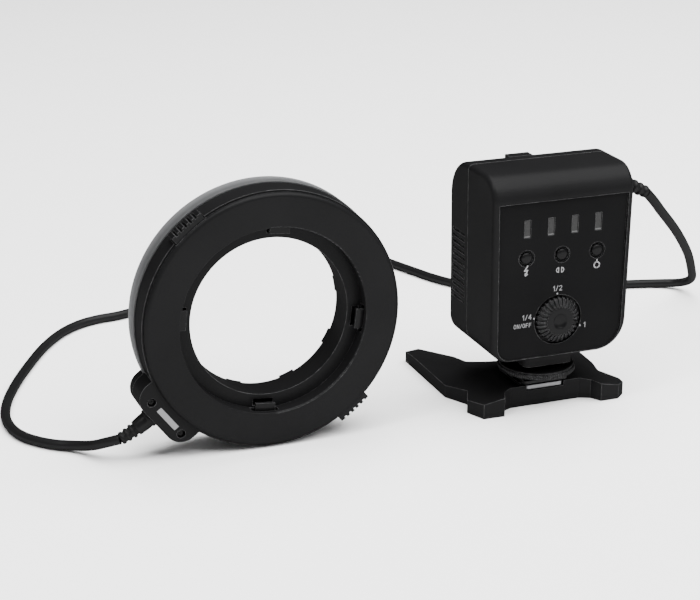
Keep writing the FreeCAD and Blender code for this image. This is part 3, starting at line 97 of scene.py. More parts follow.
def new_piece(name, form, material, body, nodes=(), sharp=SHARP):
    """Make a piece from a bmesh, riding on a body and standing in for CAD nodes."""
    bmesh.ops.recalc_face_normals(form, faces=form.faces)
    mesh = bpy.data.meshes.new(name)
    form.to_mesh(mesh)
    form.free()
    mesh.shade_smooth()
    mesh.set_sharp_from_angle(angle=math.radians(sharp))
    mesh.materials.append(material)
    piece = bpy.data.objects.new(name, mesh)
    bpy.context.collection.objects.link(piece)
    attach(piece, body)
    if nodes:
        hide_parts(*nodes)
    return piece


def facing(origin, normal, across):
    """A matrix whose Z points along the normal and whose X lies near the across direction."""
    high = Vector(normal).normalized()
    side = Vector(across)
    side = (side - high * side.dot(high)).normalized()
    turn = Matrix((side, high.cross(side), high)).transposed().to_4x4()
    return Matrix.Translation(Vector(origin)) @ turn


def join_rings(form, rings):
    """Put faces between each ring of points and the next; a ring of one point is a closed tip."""
    for one, two in zip(rings, rings[1:]):
        steps = max(len(one), len(two))
        for step in range(steps):
            after = (step + 1) % steps
            corners = [one[step % len(one)], one[after % len(one)], two[after % len(two)],
                       two[step % len(two)]]
            corners = [corner for at, corner in enumerate(corners) if corner not in corners[:at]]
            if len(corners) > 2:
                form.faces.new(corners)


def turn_profile(form, place, profile, steps, shape=None):
    """Turn a profile of radius and height round Z, closed on its axis where the radius is 0.

    The shape gives each profile point's radius and height at an angle; place is a matrix.
    """
    rings = []
    for index, (radius, height) in enumerate(profile):
        if radius == 0.0:
            rings.append([form.verts.new(place @ Vector((0.0, 0.0, height * MM)))])
            continue
        ring = []
        for step in range(steps):
            angle = FULL_TURN * step / steps
            near, high = shape(index, radius, height, angle) if shape else (radius, height)
            ring.append(form.verts.new(place @ Vector(
                (near * math.cos(angle) * MM, near * math.sin(angle) * MM, high * MM))))
        rings.append(ring)
    join_rings(form, rings)
    return rings


def loose_boxes(piece):
    """The boxes of the separate solids of a CAD node, from left to right."""
    form = bmesh.new()
    form.from_mesh(piece.data)
    bmesh.ops.remove_doubles(form, verts=form.verts, dist=WELD_DISTANCE)
    left = set(form.verts)
    boxes = []
    while left:
        front = [left.pop()]
        island = list(front)
        while front:
            vertex = front.pop()
            for edge in vertex.link_edges:
                other = edge.other_vert(vertex)
                if other in left:
                    left.remove(other)
                    front.append(other)
                    island.append(other)
        points = [piece.matrix_world @ vertex.co for vertex in island]
        boxes.append((Vector([min(point[axis] for point in points) for axis in range(3)]),
                      Vector([max(point[axis] for point in points) for axis in range(3)])))
    form.free()
    return sorted(boxes, key=lambda pair: (round(pair[0].x, 5), round(pair[0].z, 5)))


# Shader nodes: every texture lies on the object's own coordinates, in metres
NOISE_LOW, NOISE_HIGH = 0.3, 0.7


def new_node(tree, kind, values=(), operation=None):
    """A shader node with some of its inputs set and, where it has one, its operation."""
    node = tree.nodes.new("ShaderNode" + kind)
    if operation:
        node.operation = operation
    for name, value in dict(values).items():
        node.inputs[name].default_value = value
    return node


def object_place(tree):
    """The coordinates on the object, from the one node that a material has for them."""
    node = tree.nodes.get("place")
    if node is None:
        node = new_node(tree, "TexCoord")
        node.name = "place"
    return node.outputs["Object"]


def noise_at(tree, scale, detail, stretch=None):
    """Noise over the object, stretched along some axes for drawn metal."""
    texture = new_node(tree, "TexNoise", {"Scale": scale, "Detail": detail})
    source = object_place(tree)
    if stretch:
        mapping = new_node(tree, "Mapping", {"Scale": stretch})
        tree.links.new(source, mapping.inputs["Vector"])
        source = mapping.outputs["Vector"]
    tree.links.new(source, texture.inputs["Vector"])
    return texture.outputs["Fac"]


def spread(tree, source, low, high, start=NOISE_LOW, end=NOISE_HIGH):
    """A value mapped from the range start to end onto the range low to high."""
    node = new_node(tree, "MapRange", {"From Min": start, "From Max": end, "To Min": low,
                                       "To Max": high})
    tree.links.new(source, node.inputs["Value"])
    return node.outputs["Result"]


def mixed(tree, share, first, second):
    """A colour that goes from a linked one to a fixed one as the share goes from 0 to 1."""
    mix = new_node(tree, "Mix")
    mix.data_type = "RGBA"
    tree.links.new(share, mix.inputs["Factor"])
    tree.links.new(first, mix.inputs["A"])
    mix.inputs["B"].default_value = (*second, 1.0)
    return mix.outputs["Result"]


# Materials
COAT_IOR = 3.0
COAT_ROUGH_SHARE = 0.75
# The noise scale of the patches of painted edge highlight, and of the gloss
EDGE_SHEEN_NOISE_SCALE, GLOSS_SCALE = 350.0, 180.0

# How far an edge's rounded normal agrees with its face's: painted highlight at the first value, none
# at the second; then how strong that highlight is across its noise patches
EDGE_AGREE = (0.86, 0.985)
EDGE_SHEEN_PATCHES = (0.25, 1.0)


def surface(name, dark, light, rough, grain=1400.0, depth=0.00012, strength=0.35, edge=None,
            streak=None, coat=0.012, metal=0.0, specular=0.0, drift=25.0, round_edge=0.0004):
    """A moulded or metal surface: tone that drifts slowly, fine grain, uneven gloss, painted
    highlights on the edges.
    """
    material = bpy.data.materials.new(name)
    material.use_nodes = True
    tree = material.node_tree
    link = tree.links.new
    shader = tree.nodes["Principled BSDF"]
    for socket, value in (("Metallic", metal), ("Coat Weight", coat), ("Coat IOR", COAT_IOR),
                          ("Coat Roughness", rough[0] * COAT_ROUGH_SHARE),
                          ("Specular IOR Level", specular)):
        shader.inputs[socket].default_value = value

    tone = new_node(tree, "ValToRGB")
    tone.name = "tone"
    for element, position, shade in zip(tone.color_ramp.elements, (NOISE_LOW, NOISE_HIGH),
                                        (dark, light)):
        element.position = position
        element.color = (*shade, 1.0)
    link(noise_at(tree, drift, 4.0), tone.inputs["Fac"])
    colour = tone.outputs["Color"]

    rounded = new_node(tree, "Bevel", {"Radius": round_edge})
    rounded.samples = 4
    # Painted highlight: a paler colour on sharp edges, where the rounded normal turns from the
    # face's, in noisy patches
    if edge:
        agree = new_node(tree, "VectorMath", operation="DOT_PRODUCT")
        link(rounded.outputs["Normal"], agree.inputs[0])
        link(new_node(tree, "NewGeometry").outputs["Normal"], agree.inputs[1])
        edge_sheen = new_node(tree, "Math", operation="MULTIPLY")
        link(spread(tree, agree.outputs["Value"], 1.0, 0.0, *EDGE_AGREE), edge_sheen.inputs[0])
        link(spread(tree, noise_at(tree, EDGE_SHEEN_NOISE_SCALE, 3.0), *EDGE_SHEEN_PATCHES), edge_sheen.inputs[1])
        colour = mixed(tree, edge_sheen.outputs["Value"], colour, edge)
    link(colour, shader.inputs["Base Color"])
    link(spread(tree, noise_at(tree, GLOSS_SCALE, 5.0, streak), *rough), shader.inputs["Roughness"])

    bump = new_node(tree, "Bump", {"Strength": strength, "Distance": depth})
    link(noise_at(tree, grain, 2.0, streak), bump.inputs["Height"])
    link(rounded.outputs["Normal"], bump.inputs["Normal"])
    link(bump.outputs["Normal"], shader.inputs["Normal"])
    link(bump.outputs["Normal"], shader.inputs["Coat Normal"])
    return material


# Each finish: its dark and light tone, its range of roughness, and what else it needs; its edge
# colour is a painted highlight on the sharp edges
FINISHES = {
    "shell_plastic": ((0.0056, 0.0056, 0.0058), (0.0072, 0.0072, 0.0075), (0.42, 0.52),
                      {"edge": (0.13, 0.13, 0.132)}),
    "panel_plastic": ((0.0046, 0.0046, 0.0048), (0.0058, 0.0058, 0.0060), (0.50, 0.60),
                      {"grain": 2200.0, "edge": (0.14, 0.14, 0.142), "coat": 0.005}),
    "frame_plastic": ((0.0042, 0.0042, 0.0044), (0.0056, 0.0056, 0.0058), (0.30, 0.38),
                      {"edge": (0.10, 0.10, 0.102), "coat": 0.022}),
    "label": ((0.20, 0.20, 0.205), (0.24, 0.24, 0.245), (0.35, 0.5), {"depth": 0.00004}),
    "cord_rubber": ((0.0056, 0.0056, 0.0058), (0.0080, 0.0080, 0.0083), (0.40, 0.50),
                    {"grain": 1800.0, "coat": 0.022}),
    "circuit_board": ((0.01, 0.09, 0.035), (0.015, 0.13, 0.05), (0.35, 0.5), {}),
    "light_emitter": ((0.75, 0.72, 0.45), (0.85, 0.82, 0.55), (0.3, 0.5), {}),
    "component_black": ((0.007, 0.007, 0.007), (0.010, 0.010, 0.010), (0.4, 0.6), {}),
    "cell_jacket": ((0.06, 0.10, 0.22), (0.08, 0.13, 0.27), (0.25, 0.4), {"coat": 0.1}),
    "black_metal": ((0.012, 0.012, 0.0122), (0.018, 0.018, 0.0183), (0.32, 0.45),
                    {"edge": (0.06, 0.06, 0.06), "metal": 0.6, "depth": 0.00004, "coat": 0.0}),
    "steel": ((0.42, 0.42, 0.43), (0.55, 0.55, 0.56), (0.25, 0.4),
              {"metal": 1.0, "depth": 0.00003, "coat": 0.0}),
    "foot_metal": ((0.10, 0.10, 0.103), (0.15, 0.15, 0.154), (0.30, 0.45),
                   {"metal": 1.0, "depth": 0.00003, "coat": 0.0, "streak": (1.0, 12.0, 12.0)}),
    "brass": ((0.55, 0.38, 0.13), (0.68, 0.48, 0.18), (0.22, 0.4),
              {"metal": 1.0, "depth": 0.00003, "coat": 0.0}),
    "spring_steel": ((0.4, 0.4, 0.41), (0.5, 0.5, 0.51), (0.25, 0.4),
                     {"metal": 1.0, "depth": 0.00003, "coat": 0.0}),
}

# The diffuser: milky, paler in a band over the lights, with painted shade towards its root and
# painted light towards its face
DIFFUSER_TONES = ((0.075, 0.076, 0.078), (0.09, 0.091, 0.093))
DIFFUSER_ROUGH = (0.38, 0.52)
SCATTER_SHARE, SCATTER_REACH = 0.35, 0.002
BAND_COLOUR = (0.17, 0.172, 0.176)
BAND_INSET, BAND_HALF = 0.002, 0.011
BAND_SHARE = 0.5
ROOT_DEPTH = 0.003
ROOT_SHADE_SHARE, FACE_LIGHT_SHARE = 0.5, 1.35

# The windows: smoky, with a paler foot
WINDOW_TONES = ((0.009, 0.009, 0.009), (0.015, 0.015, 0.015))
WINDOW_ROUGH = (0.30, 0.45)
WINDOW_FOOT = (0.0014, 0.0019)
WINDOW_FOOT_COLOUR = (0.085, 0.085, 0.085)


def diffuser_surface():
    """Frosted clear plastic, milky, with a paler band over the lights, painted shade at its root and
    painted light at its face.
    """
    material = surface("diffuser_plastic", *DIFFUSER_TONES, DIFFUSER_ROUGH, grain=900.0,
                       depth=0.0002, coat=0.06)
    tree = material.node_tree
    link = tree.links.new
    shader = tree.nodes["Principled BSDF"]
    shader.inputs["Subsurface Weight"].default_value = SCATTER_SHARE
    shader.inputs["Subsurface Radius"].default_value = (SCATTER_REACH,) * 3

    from_axis = new_node(tree, "VectorMath", {1: (1.0, 0.0, 1.0), 2: (-RING_X, 0.0, -RING_Z)},
                         "MULTIPLY_ADD")
    link(object_place(tree), from_axis.inputs[0])
    reach = new_node(tree, "VectorMath", operation="LENGTH")
    link(from_axis.outputs["Vector"], reach.inputs[0])

    lights_low, lights_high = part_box("leds")
    middle = (lights_high.x - lights_low.x) / 2 - BAND_INSET
    band = new_node(tree, "FloatCurve")
    points = band.mapping.curves[0].points
    points[0].location = (0.0, 0.0)
    points[1].location = (1.0, 0.0)
    points.new(0.5, 1.0)
    band.mapping.update()
    link(spread(tree, reach.outputs["Value"], 0.0, 1.0, middle - BAND_HALF, middle + BAND_HALF),
         band.inputs["Value"])
    weight = new_node(tree, "Math", {1: BAND_SHARE}, "MULTIPLY")
    link(band.outputs["Value"], weight.inputs[0])
    colour = mixed(tree, weight.outputs["Value"], tree.nodes["tone"].outputs["Color"], BAND_COLOUR)

    # Painted shade and light: the colour is darkened towards the root, where the housing shades it,
    # and lightened towards the front face
    parts = new_node(tree, "SeparateXYZ")
    link(object_place(tree), parts.inputs["Vector"])
    root_shaded_colour = new_node(tree, "VectorMath", operation="SCALE")
    link(colour, root_shaded_colour.inputs[0])
    link(spread(tree, parts.outputs["Y"], ROOT_SHADE_SHARE, FACE_LIGHT_SHARE, DIFFUSER_LOW.y + ROOT_DEPTH,
                DIFFUSER_HIGH.y), root_shaded_colour.inputs["Scale"])
    link(root_shaded_colour.outputs["Vector"], shader.inputs["Base Color"])
    return material


def window_surface():
    """Smoky light guides, paler at their lower ends."""
    material = surface("window_plastic", *WINDOW_TONES, WINDOW_ROUGH, grain=2600.0, coat=0.06,
                       drift=900.0)
    tree = material.node_tree
    parts = new_node(tree, "SeparateXYZ")
    tree.links.new(object_place(tree), parts.inputs["Vector"])
    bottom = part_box("light_guides")[0].z
    foot = spread(tree, parts.outputs["Z"], 1.0, 0.0, bottom + WINDOW_FOOT[0],
                  bottom + WINDOW_FOOT[1])
    colour = mixed(tree, foot, tree.nodes["tone"].outputs["Color"], WINDOW_FOOT_COLOUR)
    tree.links.new(colour, tree.nodes["Principled BSDF"].inputs["Base Color"])
    return material


def make_materials():
    """One material for each material slot of the CAD."""
    materials = {name: surface(name, dark, light, rough, **more)
                 for name, (dark, light, rough, more) in FINISHES.items()}
    materials["diffuser_plastic"] = diffuser_surface()
    materials["window_plastic"] = window_surface()
    return materials


# Edge rounds for the nodes that keep their CAD shape: the least angle in degrees, and the widths
EDGE_ANGLE = 35.0
EDGE_ROUNDS = {
    "stand_body": 0.45, "foot_block": 0.4, "boss_cover": 0.5, "front_housing": 0.25,
    "rear_cover": 0.3, "foot_plate": 0.2, "clamp_plate": 0.2, "tripod_insert": 0.2,
    "battery_cover": 0.3, "front_shell": 0.25, "control_panel": 0.2, "diffuser": 0.4,
    "release_frame_upper": 0.25, "release_frame_lower": 0.25,
}


def round_edges(piece, width):
    """Rounds of a width in millimetres on the sharp edges, with the flat faces shaded flat."""
    weld = piece.modifiers.new("joined", "WELD")
    weld.merge_threshold = WELD_DISTANCE
    bevel = piece.modifiers.new("edge_rounds", "BEVEL")
    bevel.width = width * MM
    bevel.segments = 2
    bevel.limit_method = "ANGLE"
    bevel.angle_limit = math.radians(EDGE_ANGLE)
    bevel.use_clamp_overlap = True
    even = piece.modifiers.new("even_faces", "WEIGHTED_NORMAL")
    even.weight = 100
    even.keep_sharp = True


def dress_nodes(materials):
    """Every CAD node takes the finish of its own material slot, and small edge rounds."""
    for part in frame["record"]["subparts"]:
        piece = frame["nodes"][part["node"]]
        piece.data.materials.clear()
        piece.data.materials.append(materials[part["material_slot"]])
        if part["node"] in EDGE_ROUNDS:
            round_edges(piece, EDGE_ROUNDS[part["node"]])


# The cord's route, from the ring head over the floor to the controller, in millimetres
CORD_RADIUS = 2.25 * MM
HEAD_TIP = Vector((-198.9, -5.2, 11.0)) * MM
CASE_TIP = Vector((53.2, 0.0, 92.9)) * MM
CORD_ROUTE = [
    (-203.5, -3.2, 9.6), (-208.5, 4.0, 5.6), (-213.5, 12.0, 3.0), (-224.5, 19.5, 2.3),
    (-235.0, 33.0, 2.3), (-237.5, 52.0, 2.3), (-233.0, 72.0, 2.3), (-224.5, 93.0, 2.3),
    (-213.5, 115.0, 2.3), (-200.5, 138.5, 2.3), (-186.0, 156.5, 2.3), (-171.0, 165.5, 2.3),
    (-152.0, 167.0, 2.3), (-133.5, 179.0, 2.3), (-119.0, 206.0, 2.3), (-104.0, 238.0, 2.3),
    (-84.0, 269.0, 2.3), (-59.0, 293.0, 2.3), (-30.0, 296.0, 2.3), (-11.0, 275.0, 2.3),
    (-3.0, 243.0, 2.3), (2.5, 211.0, 2.3), (9.5, 191.0, 2.3), (14.5, 178.0, 2.3),
    (20.5, 162.0, 2.3), (29.0, 148.5, 2.3), (46.0, 136.5, 2.3), (70.0, 127.5, 2.3),
    (94.0, 122.0, 2.3), (114.0, 118.4, 2.3), (131.0, 113.6, 2.3), (140.6, 105.5, 3.9),
    (139.0, 93.0, 10.5), (128.0, 77.0, 22.0), (113.5, 57.0, 37.5), (99.5, 40.0, 50.5),
    (86.0, 25.5, 63.0), (74.5, 14.5, 73.0), (65.0, 7.0, 81.5), (58.5, 1.6, 87.8),
]


def make_cord(material, reliefs):
    """The cord: one smooth open spline with the route's places as its control points."""
    points = [HEAD_TIP] + [Vector(place) * MM for place in CORD_ROUTE] + [CASE_TIP]
    curve = bpy.data.curves.new("cord_cable", "CURVE")
    curve.dimensions = "3D"
    spline = curve.splines.new("NURBS")
    spline.points.add(len(points) - 1)
    for place, point in zip(spline.points, points):
        place.co = (*point, 1.0)
    spline.order_u = 3
    spline.use_endpoint_u = True
    spline.resolution_u = 12
    curve.bevel_depth = CORD_RADIUS
    curve.bevel_resolution = 10
    curve.use_fill_caps = True
    curve.materials.append(material)
    piece = bpy.data.objects.new("cord_cable", curve)
    bpy.context.collection.objects.link(piece)
    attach(piece, "flash")
    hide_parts("cord")


# A strain relief from its wall outwards: thin flange, tapered barrel, three soft ribs
RELIEF_LENGTH = 15.2
RELIEF_PROFILE = [
    (-2.6, 0.0), (-2.6, 3.0), (-0.2, 3.0), (-0.2, 4.05), (0.1, 4.25), (1.0, 4.25), (1.3, 4.1),
    (1.4, 3.75), (1.8, 3.65), (2.6, 3.72), (4.6, 3.62), (6.4, 3.48), (7.1, 3.38), (7.4, 3.15),
    (7.5, 2.62), (8.3, 2.55), (8.5, 3.0), (8.9, 3.22), (9.5, 3.22), (9.8, 2.98), (9.95, 2.5),
    (10.8, 2.46), (11.0, 2.8), (11.4, 3.02), (12.0, 3.02), (12.3, 2.8), (12.45, 2.42),
    (13.2, 2.38), (13.4, 2.65), (13.8, 2.84), (14.4, 2.84), (14.8, 2.62), (15.0, 2.3),
    (RELIEF_LENGTH, 0.0),
]
SLEEVE_SAMPLES = 64
SLEEVE_STEPS = 40

# Where the reliefs leave the ring's boss and the case, in degrees and millimetres
HEAD_ANGLE = math.radians(-142.6)
HEAD_REACH = 66.5
HEAD_DEPTH = 8.1
HEAD_SHIFT = 1.9
HEAD_STRAIGHT = 9.5
CASE_ANGLE = math.radians(-22.0)
CASE_ROOT = Vector((35.3, 0.0, 101.2)) * MM
CASE_STRAIGHT = 11.0
CASE_RELIEF_LENGTH = 19.8
CASE_RELIEF_SINK = 1.6


def bent_sleeve(form, axis_points, profile):
    """A sleeve whose profile of distance and radius, in millimetres, follows a smooth bent axis."""
    one, two, three = axis_points
    shares = [step / SLEEVE_SAMPLES for step in range(SLEEVE_SAMPLES + 1)]
    samples = [one.lerp(two, share).lerp(two.lerp(three, share), share) for share in shares]
    lengths = [0.0]
    for before, after in zip(samples, samples[1:]):
        lengths.append(lengths[-1] + (after - before).length)
    stretch = lengths[-1] / (profile[-1][0] * MM)
    angles = [FULL_TURN * step / SLEEVE_STEPS for step in range(SLEEVE_STEPS)]
    rings = []
    for distance, radius in profile:
        target = max(distance * MM * stretch, 0.0)
        place = next((at for at in range(1, len(samples)) if lengths[at] >= target - 1e-9),
                     SLEEVE_SAMPLES)
        part = (target - lengths[place - 1]) / (lengths[place] - lengths[place - 1])
        centre = samples[place - 1].lerp(samples[place], part)
        if distance < 0.0:
            centre = samples[0] + (samples[0] - samples[1]).normalized() * (-distance * MM)
        along = (samples[place] - samples[place - 1]).normalized()
        turn = facing(centre, along, (0.0, 1.0, 0.0))
        if radius == 0.0:
            rings.append([form.verts.new(centre)])
            continue
        rings.append([form.verts.new(turn @ Vector((
            radius * MM * math.cos(angle), radius * MM * math.sin(angle), 0.0)))
            for angle in angles])
    join_rings(form, rings)


def make_reliefs(material):
    """The ribbed strain reliefs at the cord's two ends."""
    out = Vector((math.cos(HEAD_ANGLE), 0.0, math.sin(HEAD_ANGLE)))
    side = Vector((out.z, 0.0, -out.x))
    root = (Vector((RING_X, RING_BACK + HEAD_DEPTH * MM, RING_Z)) + out * HEAD_REACH * MM
            + side * HEAD_SHIFT * MM)
    head = bmesh.new()
    bent_sleeve(head, (root, root + out * HEAD_STRAIGHT * MM, HEAD_TIP), RELIEF_PROFILE)

    slope = Vector((math.cos(CASE_ANGLE), 0.0, math.sin(CASE_ANGLE)))
    profile = [(distance * CASE_RELIEF_LENGTH / RELIEF_LENGTH if distance > 0
                else distance - CASE_RELIEF_SINK, radius) for distance, radius in RELIEF_PROFILE]
    case = bmesh.new()
    bent_sleeve(case, (CASE_ROOT, CASE_ROOT + slope * CASE_STRAIGHT * MM, CASE_TIP), profile)
    return [new_piece(name + "_relief_sleeve", form, material, "flash",
                      [name + "_strain_relief"], SHARP_RUBBER)
            for name, form in (("head", head), ("case", case))]


# The dial: ribs on its sloping rim, a smooth disc and a shallow finger dimple
DIAL_RIBS, DIAL_RIB_STEPS, DIAL_RIB_FLAT = 28, 14, 1.7
DIAL_SKIRT = 1.8
DIAL_PROFILE = [
    (1.9, -DIAL_SKIRT), (5.0, -DIAL_SKIRT), (5.0, 0.2), (10.3, 0.2), (10.6, 0.5), (10.6, 1.5),
    (10.45, 2.0), (10.0, 2.5), (9.2, 3.0), (8.2, 3.5), (7.2, 3.95), (6.75, 4.15), (6.5, 4.3),
    (6.2, 4.4), (4.0, 4.4), (3.5, 4.35), (3.2, 4.1), (2.7, 3.75), (1.6, 3.6), (0.0, 3.55),
]

# How deep the grooves between the ribs are, by the profile point from the rim's edge inwards
DIAL_GROOVES = {3: 0.3, 4: 0.7, 5: 0.85, 6: 0.85, 7: 0.85, 8: 0.8, 9: 0.75, 10: 0.6, 11: 0.3}


def rib_share(angle, count, flat):
    """How far out the rim is at an angle: 1 on a rib, 0 in the groove between two ribs."""
    swing = 0.5 + 0.5 * math.cos(angle * count)
    return min(1.0, max(0.0, (swing - 0.5) * flat + 0.5))


def make_dial(material):
    """The dial: a ribbed knob on the potentiometer's axis."""
    low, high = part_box("dial")
    place = facing(((low.x + high.x) / 2, high.y - DIAL_SKIRT * MM, (low.z + high.z) / 2),
                   FORWARD, RIGHTWARD)

    def ribbed(index, radius, height, angle):
        """A profile point, sunk in a groove: downwards too where the rim slopes."""
        if index not in DIAL_GROOVES:
            return radius, height
        sunk = DIAL_GROOVES[index] * (1.0 - rib_share(angle, DIAL_RIBS, DIAL_RIB_FLAT))
        slope = min(1.0, max(0.0, (index - 5) / 3))
        return radius - sunk * (1.0 - 0.5 * slope), height - sunk * 0.85 * slope

    form = bmesh.new()
    turn_profile(form, place, DIAL_PROFILE, DIAL_RIBS * DIAL_RIB_STEPS, ribbed)
    new_piece("dial_knob", form, material, "dial", ["dial"], SHARP_TURNED)


# The lock wheel, in millimetres: its knurl lies on four points of its profile
WHEEL_RIBS, WHEEL_RIB_STEPS, WHEEL_RIB_FLAT = 110, 6, 1.2
WHEEL_RIM = 3.5
WHEEL_BORE = 6.15
KNURL_DEPTH = 0.42
KNURLED_POINTS = range(5, 9)


def make_wheel(material):
    """The lock wheel: a knurled rim in two tiers over a smooth hub."""
    low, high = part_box("lock_wheel")
    radius = (high.x - low.x) / 2 / MM
    tall = (high.z - low.z) / MM
    place = Matrix.Translation(Vector(((low.x + high.x) / 2, (low.y + high.y) / 2, low.z)))
    hub = tall - WHEEL_RIM
    profile = [
        (WHEEL_BORE, 0.0), (9.9, 0.0), (10.0, 0.1), (10.0, hub), (radius - 1.0, hub),
        (radius - 0.25, hub + 0.15), (radius, hub + 0.4), (radius, hub + 2.3),
        (radius - 0.25, hub + 2.5), (radius - 0.7, hub + 2.55), (radius - 0.75, hub + 3.0),
        (radius - 1.2, tall - 0.12), (radius - 1.7, tall), (radius - 4.2, tall),
        (radius - 4.5, tall - 0.4), (7.6, tall - 0.4), (7.3, tall), (WHEEL_BORE, tall),
    ]

    def knurled(index, near, height, angle):
        """A profile point, nearer the axis between two ribs of the knurl."""
        if index not in KNURLED_POINTS:
            return near, height
        return near - KNURL_DEPTH * (1.0 - rib_share(angle, WHEEL_RIBS, WHEEL_RIB_FLAT)), height

    form = bmesh.new()
    rings = turn_profile(form, place, profile, WHEEL_RIBS * WHEEL_RIB_STEPS, knurled)
    join_rings(form, [rings[-1], rings[0]])
    new_piece("lock_wheel_rim", form, material, "wheel", ["lock_wheel"],
              SHARP_TURNED)


# How many steps a button's circle has
BUTTON_STEPS = 64


def make_buttons(material):
    """Three domed push buttons, each with its flange and stem behind the panel."""
    for side in ("left", "middle", "right"):
        node = "button_" + side
        low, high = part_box(node)
        tall = (high.y - low.y) / MM
        wide = (high.x - low.x) / 2 / MM
        place = facing(((low.x + high.x) / 2, high.y, (low.z + high.z) / 2), FORWARD, RIGHTWARD)
        profile = [
            (0.0, 0.03), (1.15, 0.03), (1.2, 0.08), (1.2, 1.3), (wide, 1.3), (wide, 2.1),
            (2.6, 2.1), (2.6, tall - 1.15), (2.57, tall - 0.85), (2.45, tall - 0.6),
            (2.2, tall - 0.38), (1.8, tall - 0.2), (1.2, tall - 0.07), (0.6, tall - 0.02),
            (0.0, tall),
        ]
        form = bmesh.new()
        turn_profile(form, place, profile, BUTTON_STEPS)
        new_piece("button_cap_" + side, form, material, node, [node],
                  SHARP_TURNED)


# The release frames' return springs, with the wire's radius in millimetres
SPRING_TURNS = 7
COIL_STEPS = 26
WIRE_RADIUS = 0.19
WIRE_STEPS = 8


def add_coil(form, start, axis, across, length, radius):
    """A closed-end coil spring of round wire from a start point along an axis, in metres."""
    side = axis.cross(across)
    steps = SPRING_TURNS * COIL_STEPS
    turns = [FULL_TURN * spot / WIRE_STEPS for spot in range(WIRE_STEPS)]
    rings = []
    for step in range(steps + 1):
        angle = FULL_TURN * step / COIL_STEPS
        outward = across * math.cos(angle) + side * math.sin(angle)
        rise = min(max((step - COIL_STEPS) / (steps - 2 * COIL_STEPS), 0.0), 1.0)
        lift = WIRE_RADIUS * MM + (length - 2 * WIRE_RADIUS * MM) * rise
        centre = start + outward * (radius - WIRE_RADIUS * MM) + axis * lift
        rings.append([form.verts.new(centre + (outward * math.cos(turn) + axis * math.sin(turn))
                                     * WIRE_RADIUS * MM) for turn in turns])
    join_rings(form, rings)
    form.faces.new(rings[0][::-1])
    form.faces.new(rings[-1])


def make_springs(material):
    """The coiled return springs of the release frames, as fixed coils; the real ones shorten as a
    button is pressed.
    """
    joints = {joint["name"]: joint for joint in frame["record"]["behaviour"]["joints"]}
    for name in ("upper", "lower"):
        node = "release_springs_" + name
        joint = joints["release_%s_press" % name]
        axis = Vector(joint["axis"]).normalized()
        across = axis.cross(Vector((0.0, 1.0, 0.0)))
        low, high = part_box(node)
        middle = (low + high) / 2
        radius = (high.y - low.y) / 2
        sleeves = frame["nodes"][node]
        spots = [sleeves.matrix_world @ vertex.co - middle for vertex in sleeves.data.vertices]
        inner = max(spot.dot(axis) for spot in spots)
        length = inner - min(spot.dot(axis) for spot in spots)
        apart = max(spot.dot(across) for spot in spots) - radius
        form = bmesh.new()
        for side in (-1, 1):
            add_coil(form, middle + axis * inner + across * apart * side, -axis, across,
                     length, radius)
        piece = new_piece("release_coils_" + name, form, material, "flash",
                          [node], SHARP_TURNED)
        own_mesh(piece)


# Printed marks on the panel, as paint standing a hair proud of it, in millimetres
PANEL_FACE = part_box("control_panel")[0].y
PAINT, PAINT_STEP, PAINT_LEVELS = 0.02, 0.002, 9
CAP_STEPS = 6

# Each sign's strokes, on a square whose side is the sign's height
SIGNS = {
    "1": [[(0.1, 0.72), (0.34, 1.0), (0.34, 0.0)]],
    "2": [[(0.04, 0.8), (0.2, 0.98), (0.42, 0.98), (0.56, 0.8), (0.54, 0.6), (0.04, 0.03),
           (0.6, 0.03)]],
    "4": [[(0.44, 0.0), (0.44, 1.0), (0.02, 0.3), (0.62, 0.3)]],
    "/": [[(0.02, 0.0), (0.42, 1.0)]],
    "O": [[(0.3, 1.0), (0.08, 0.85), (0.02, 0.5), (0.08, 0.15), (0.3, 0.0), (0.52, 0.15),
           (0.58, 0.5), (0.52, 0.85), (0.3, 1.0)]],
    "F": [[(0.06, 0.0), (0.06, 0.98), (0.56, 0.98)], [(0.06, 0.52), (0.46, 0.52)]],
    "N": [[(0.06, 0.0), (0.06, 1.0), (0.56, 0.0), (0.56, 1.0)]],
    "flash": [[(0.62, 1.55), (0.12, 0.78), (0.62, 0.86), (0.28, 0.02)],
              [(0.28, 0.02), (0.24, 0.36)], [(0.28, 0.02), (0.58, 0.22)]],
    "half_left": [[(0.5, 0.0), (0.15, 0.15), (0.0, 0.5), (0.15, 0.85), (0.5, 1.0), (0.5, 0.0)]],
    "half_right": [[(0.25, 0.0), (0.6, 0.15), (0.75, 0.5), (0.6, 0.85), (0.25, 1.0),
                    (0.25, 0.0)]],
}
SIGN_WIDTHS = {"/": 0.44, "1": 0.4}
SIGN_WIDTH = 0.62

# The dots round the dial
DIAL_DOTS = [(-1.6, 57.5), (-12.75, 47.0), (10.4, 40.9)]
DOT_RADIUS, DOT_STEPS = 0.42, 16

# Each row of signs: its lower left corner, its height, how wide its strokes are, and its gaps
SIGN_ROWS = [
    ("1/2", (-3.9, 58.9), 2.3, 0.3, 0.26), ("1/4", (-18.6, 46.9), 2.3, 0.3, 0.26),
    ("ON/OFF", (-22.6, 43.3), 1.9, 0.26, 0.2), ("1", (12.2, 39.8), 2.3, 0.3, 0.2),
    (["flash"], (-18.6, 67.7), 2.9, 0.62, 0.2), (["half_left"], (-2.6, 67.4), 2.3, 0.42, 0.2),
    (["half_right"], (-0.6, 67.4), 2.3, 0.42, 0.2),
]

# The lamp sign over the right button: a ring and a short stroke on its top
LAMP_CENTRE = (17.5, 68.8)
LAMP_RADIUS, LAMP_STEPS, LAMP_WIDE = 1.35, 24, 0.62
LAMP_STROKE, LAMP_STROKE_WIDE = [(17.5, 70.5), (17.5, 71.2)], 0.55


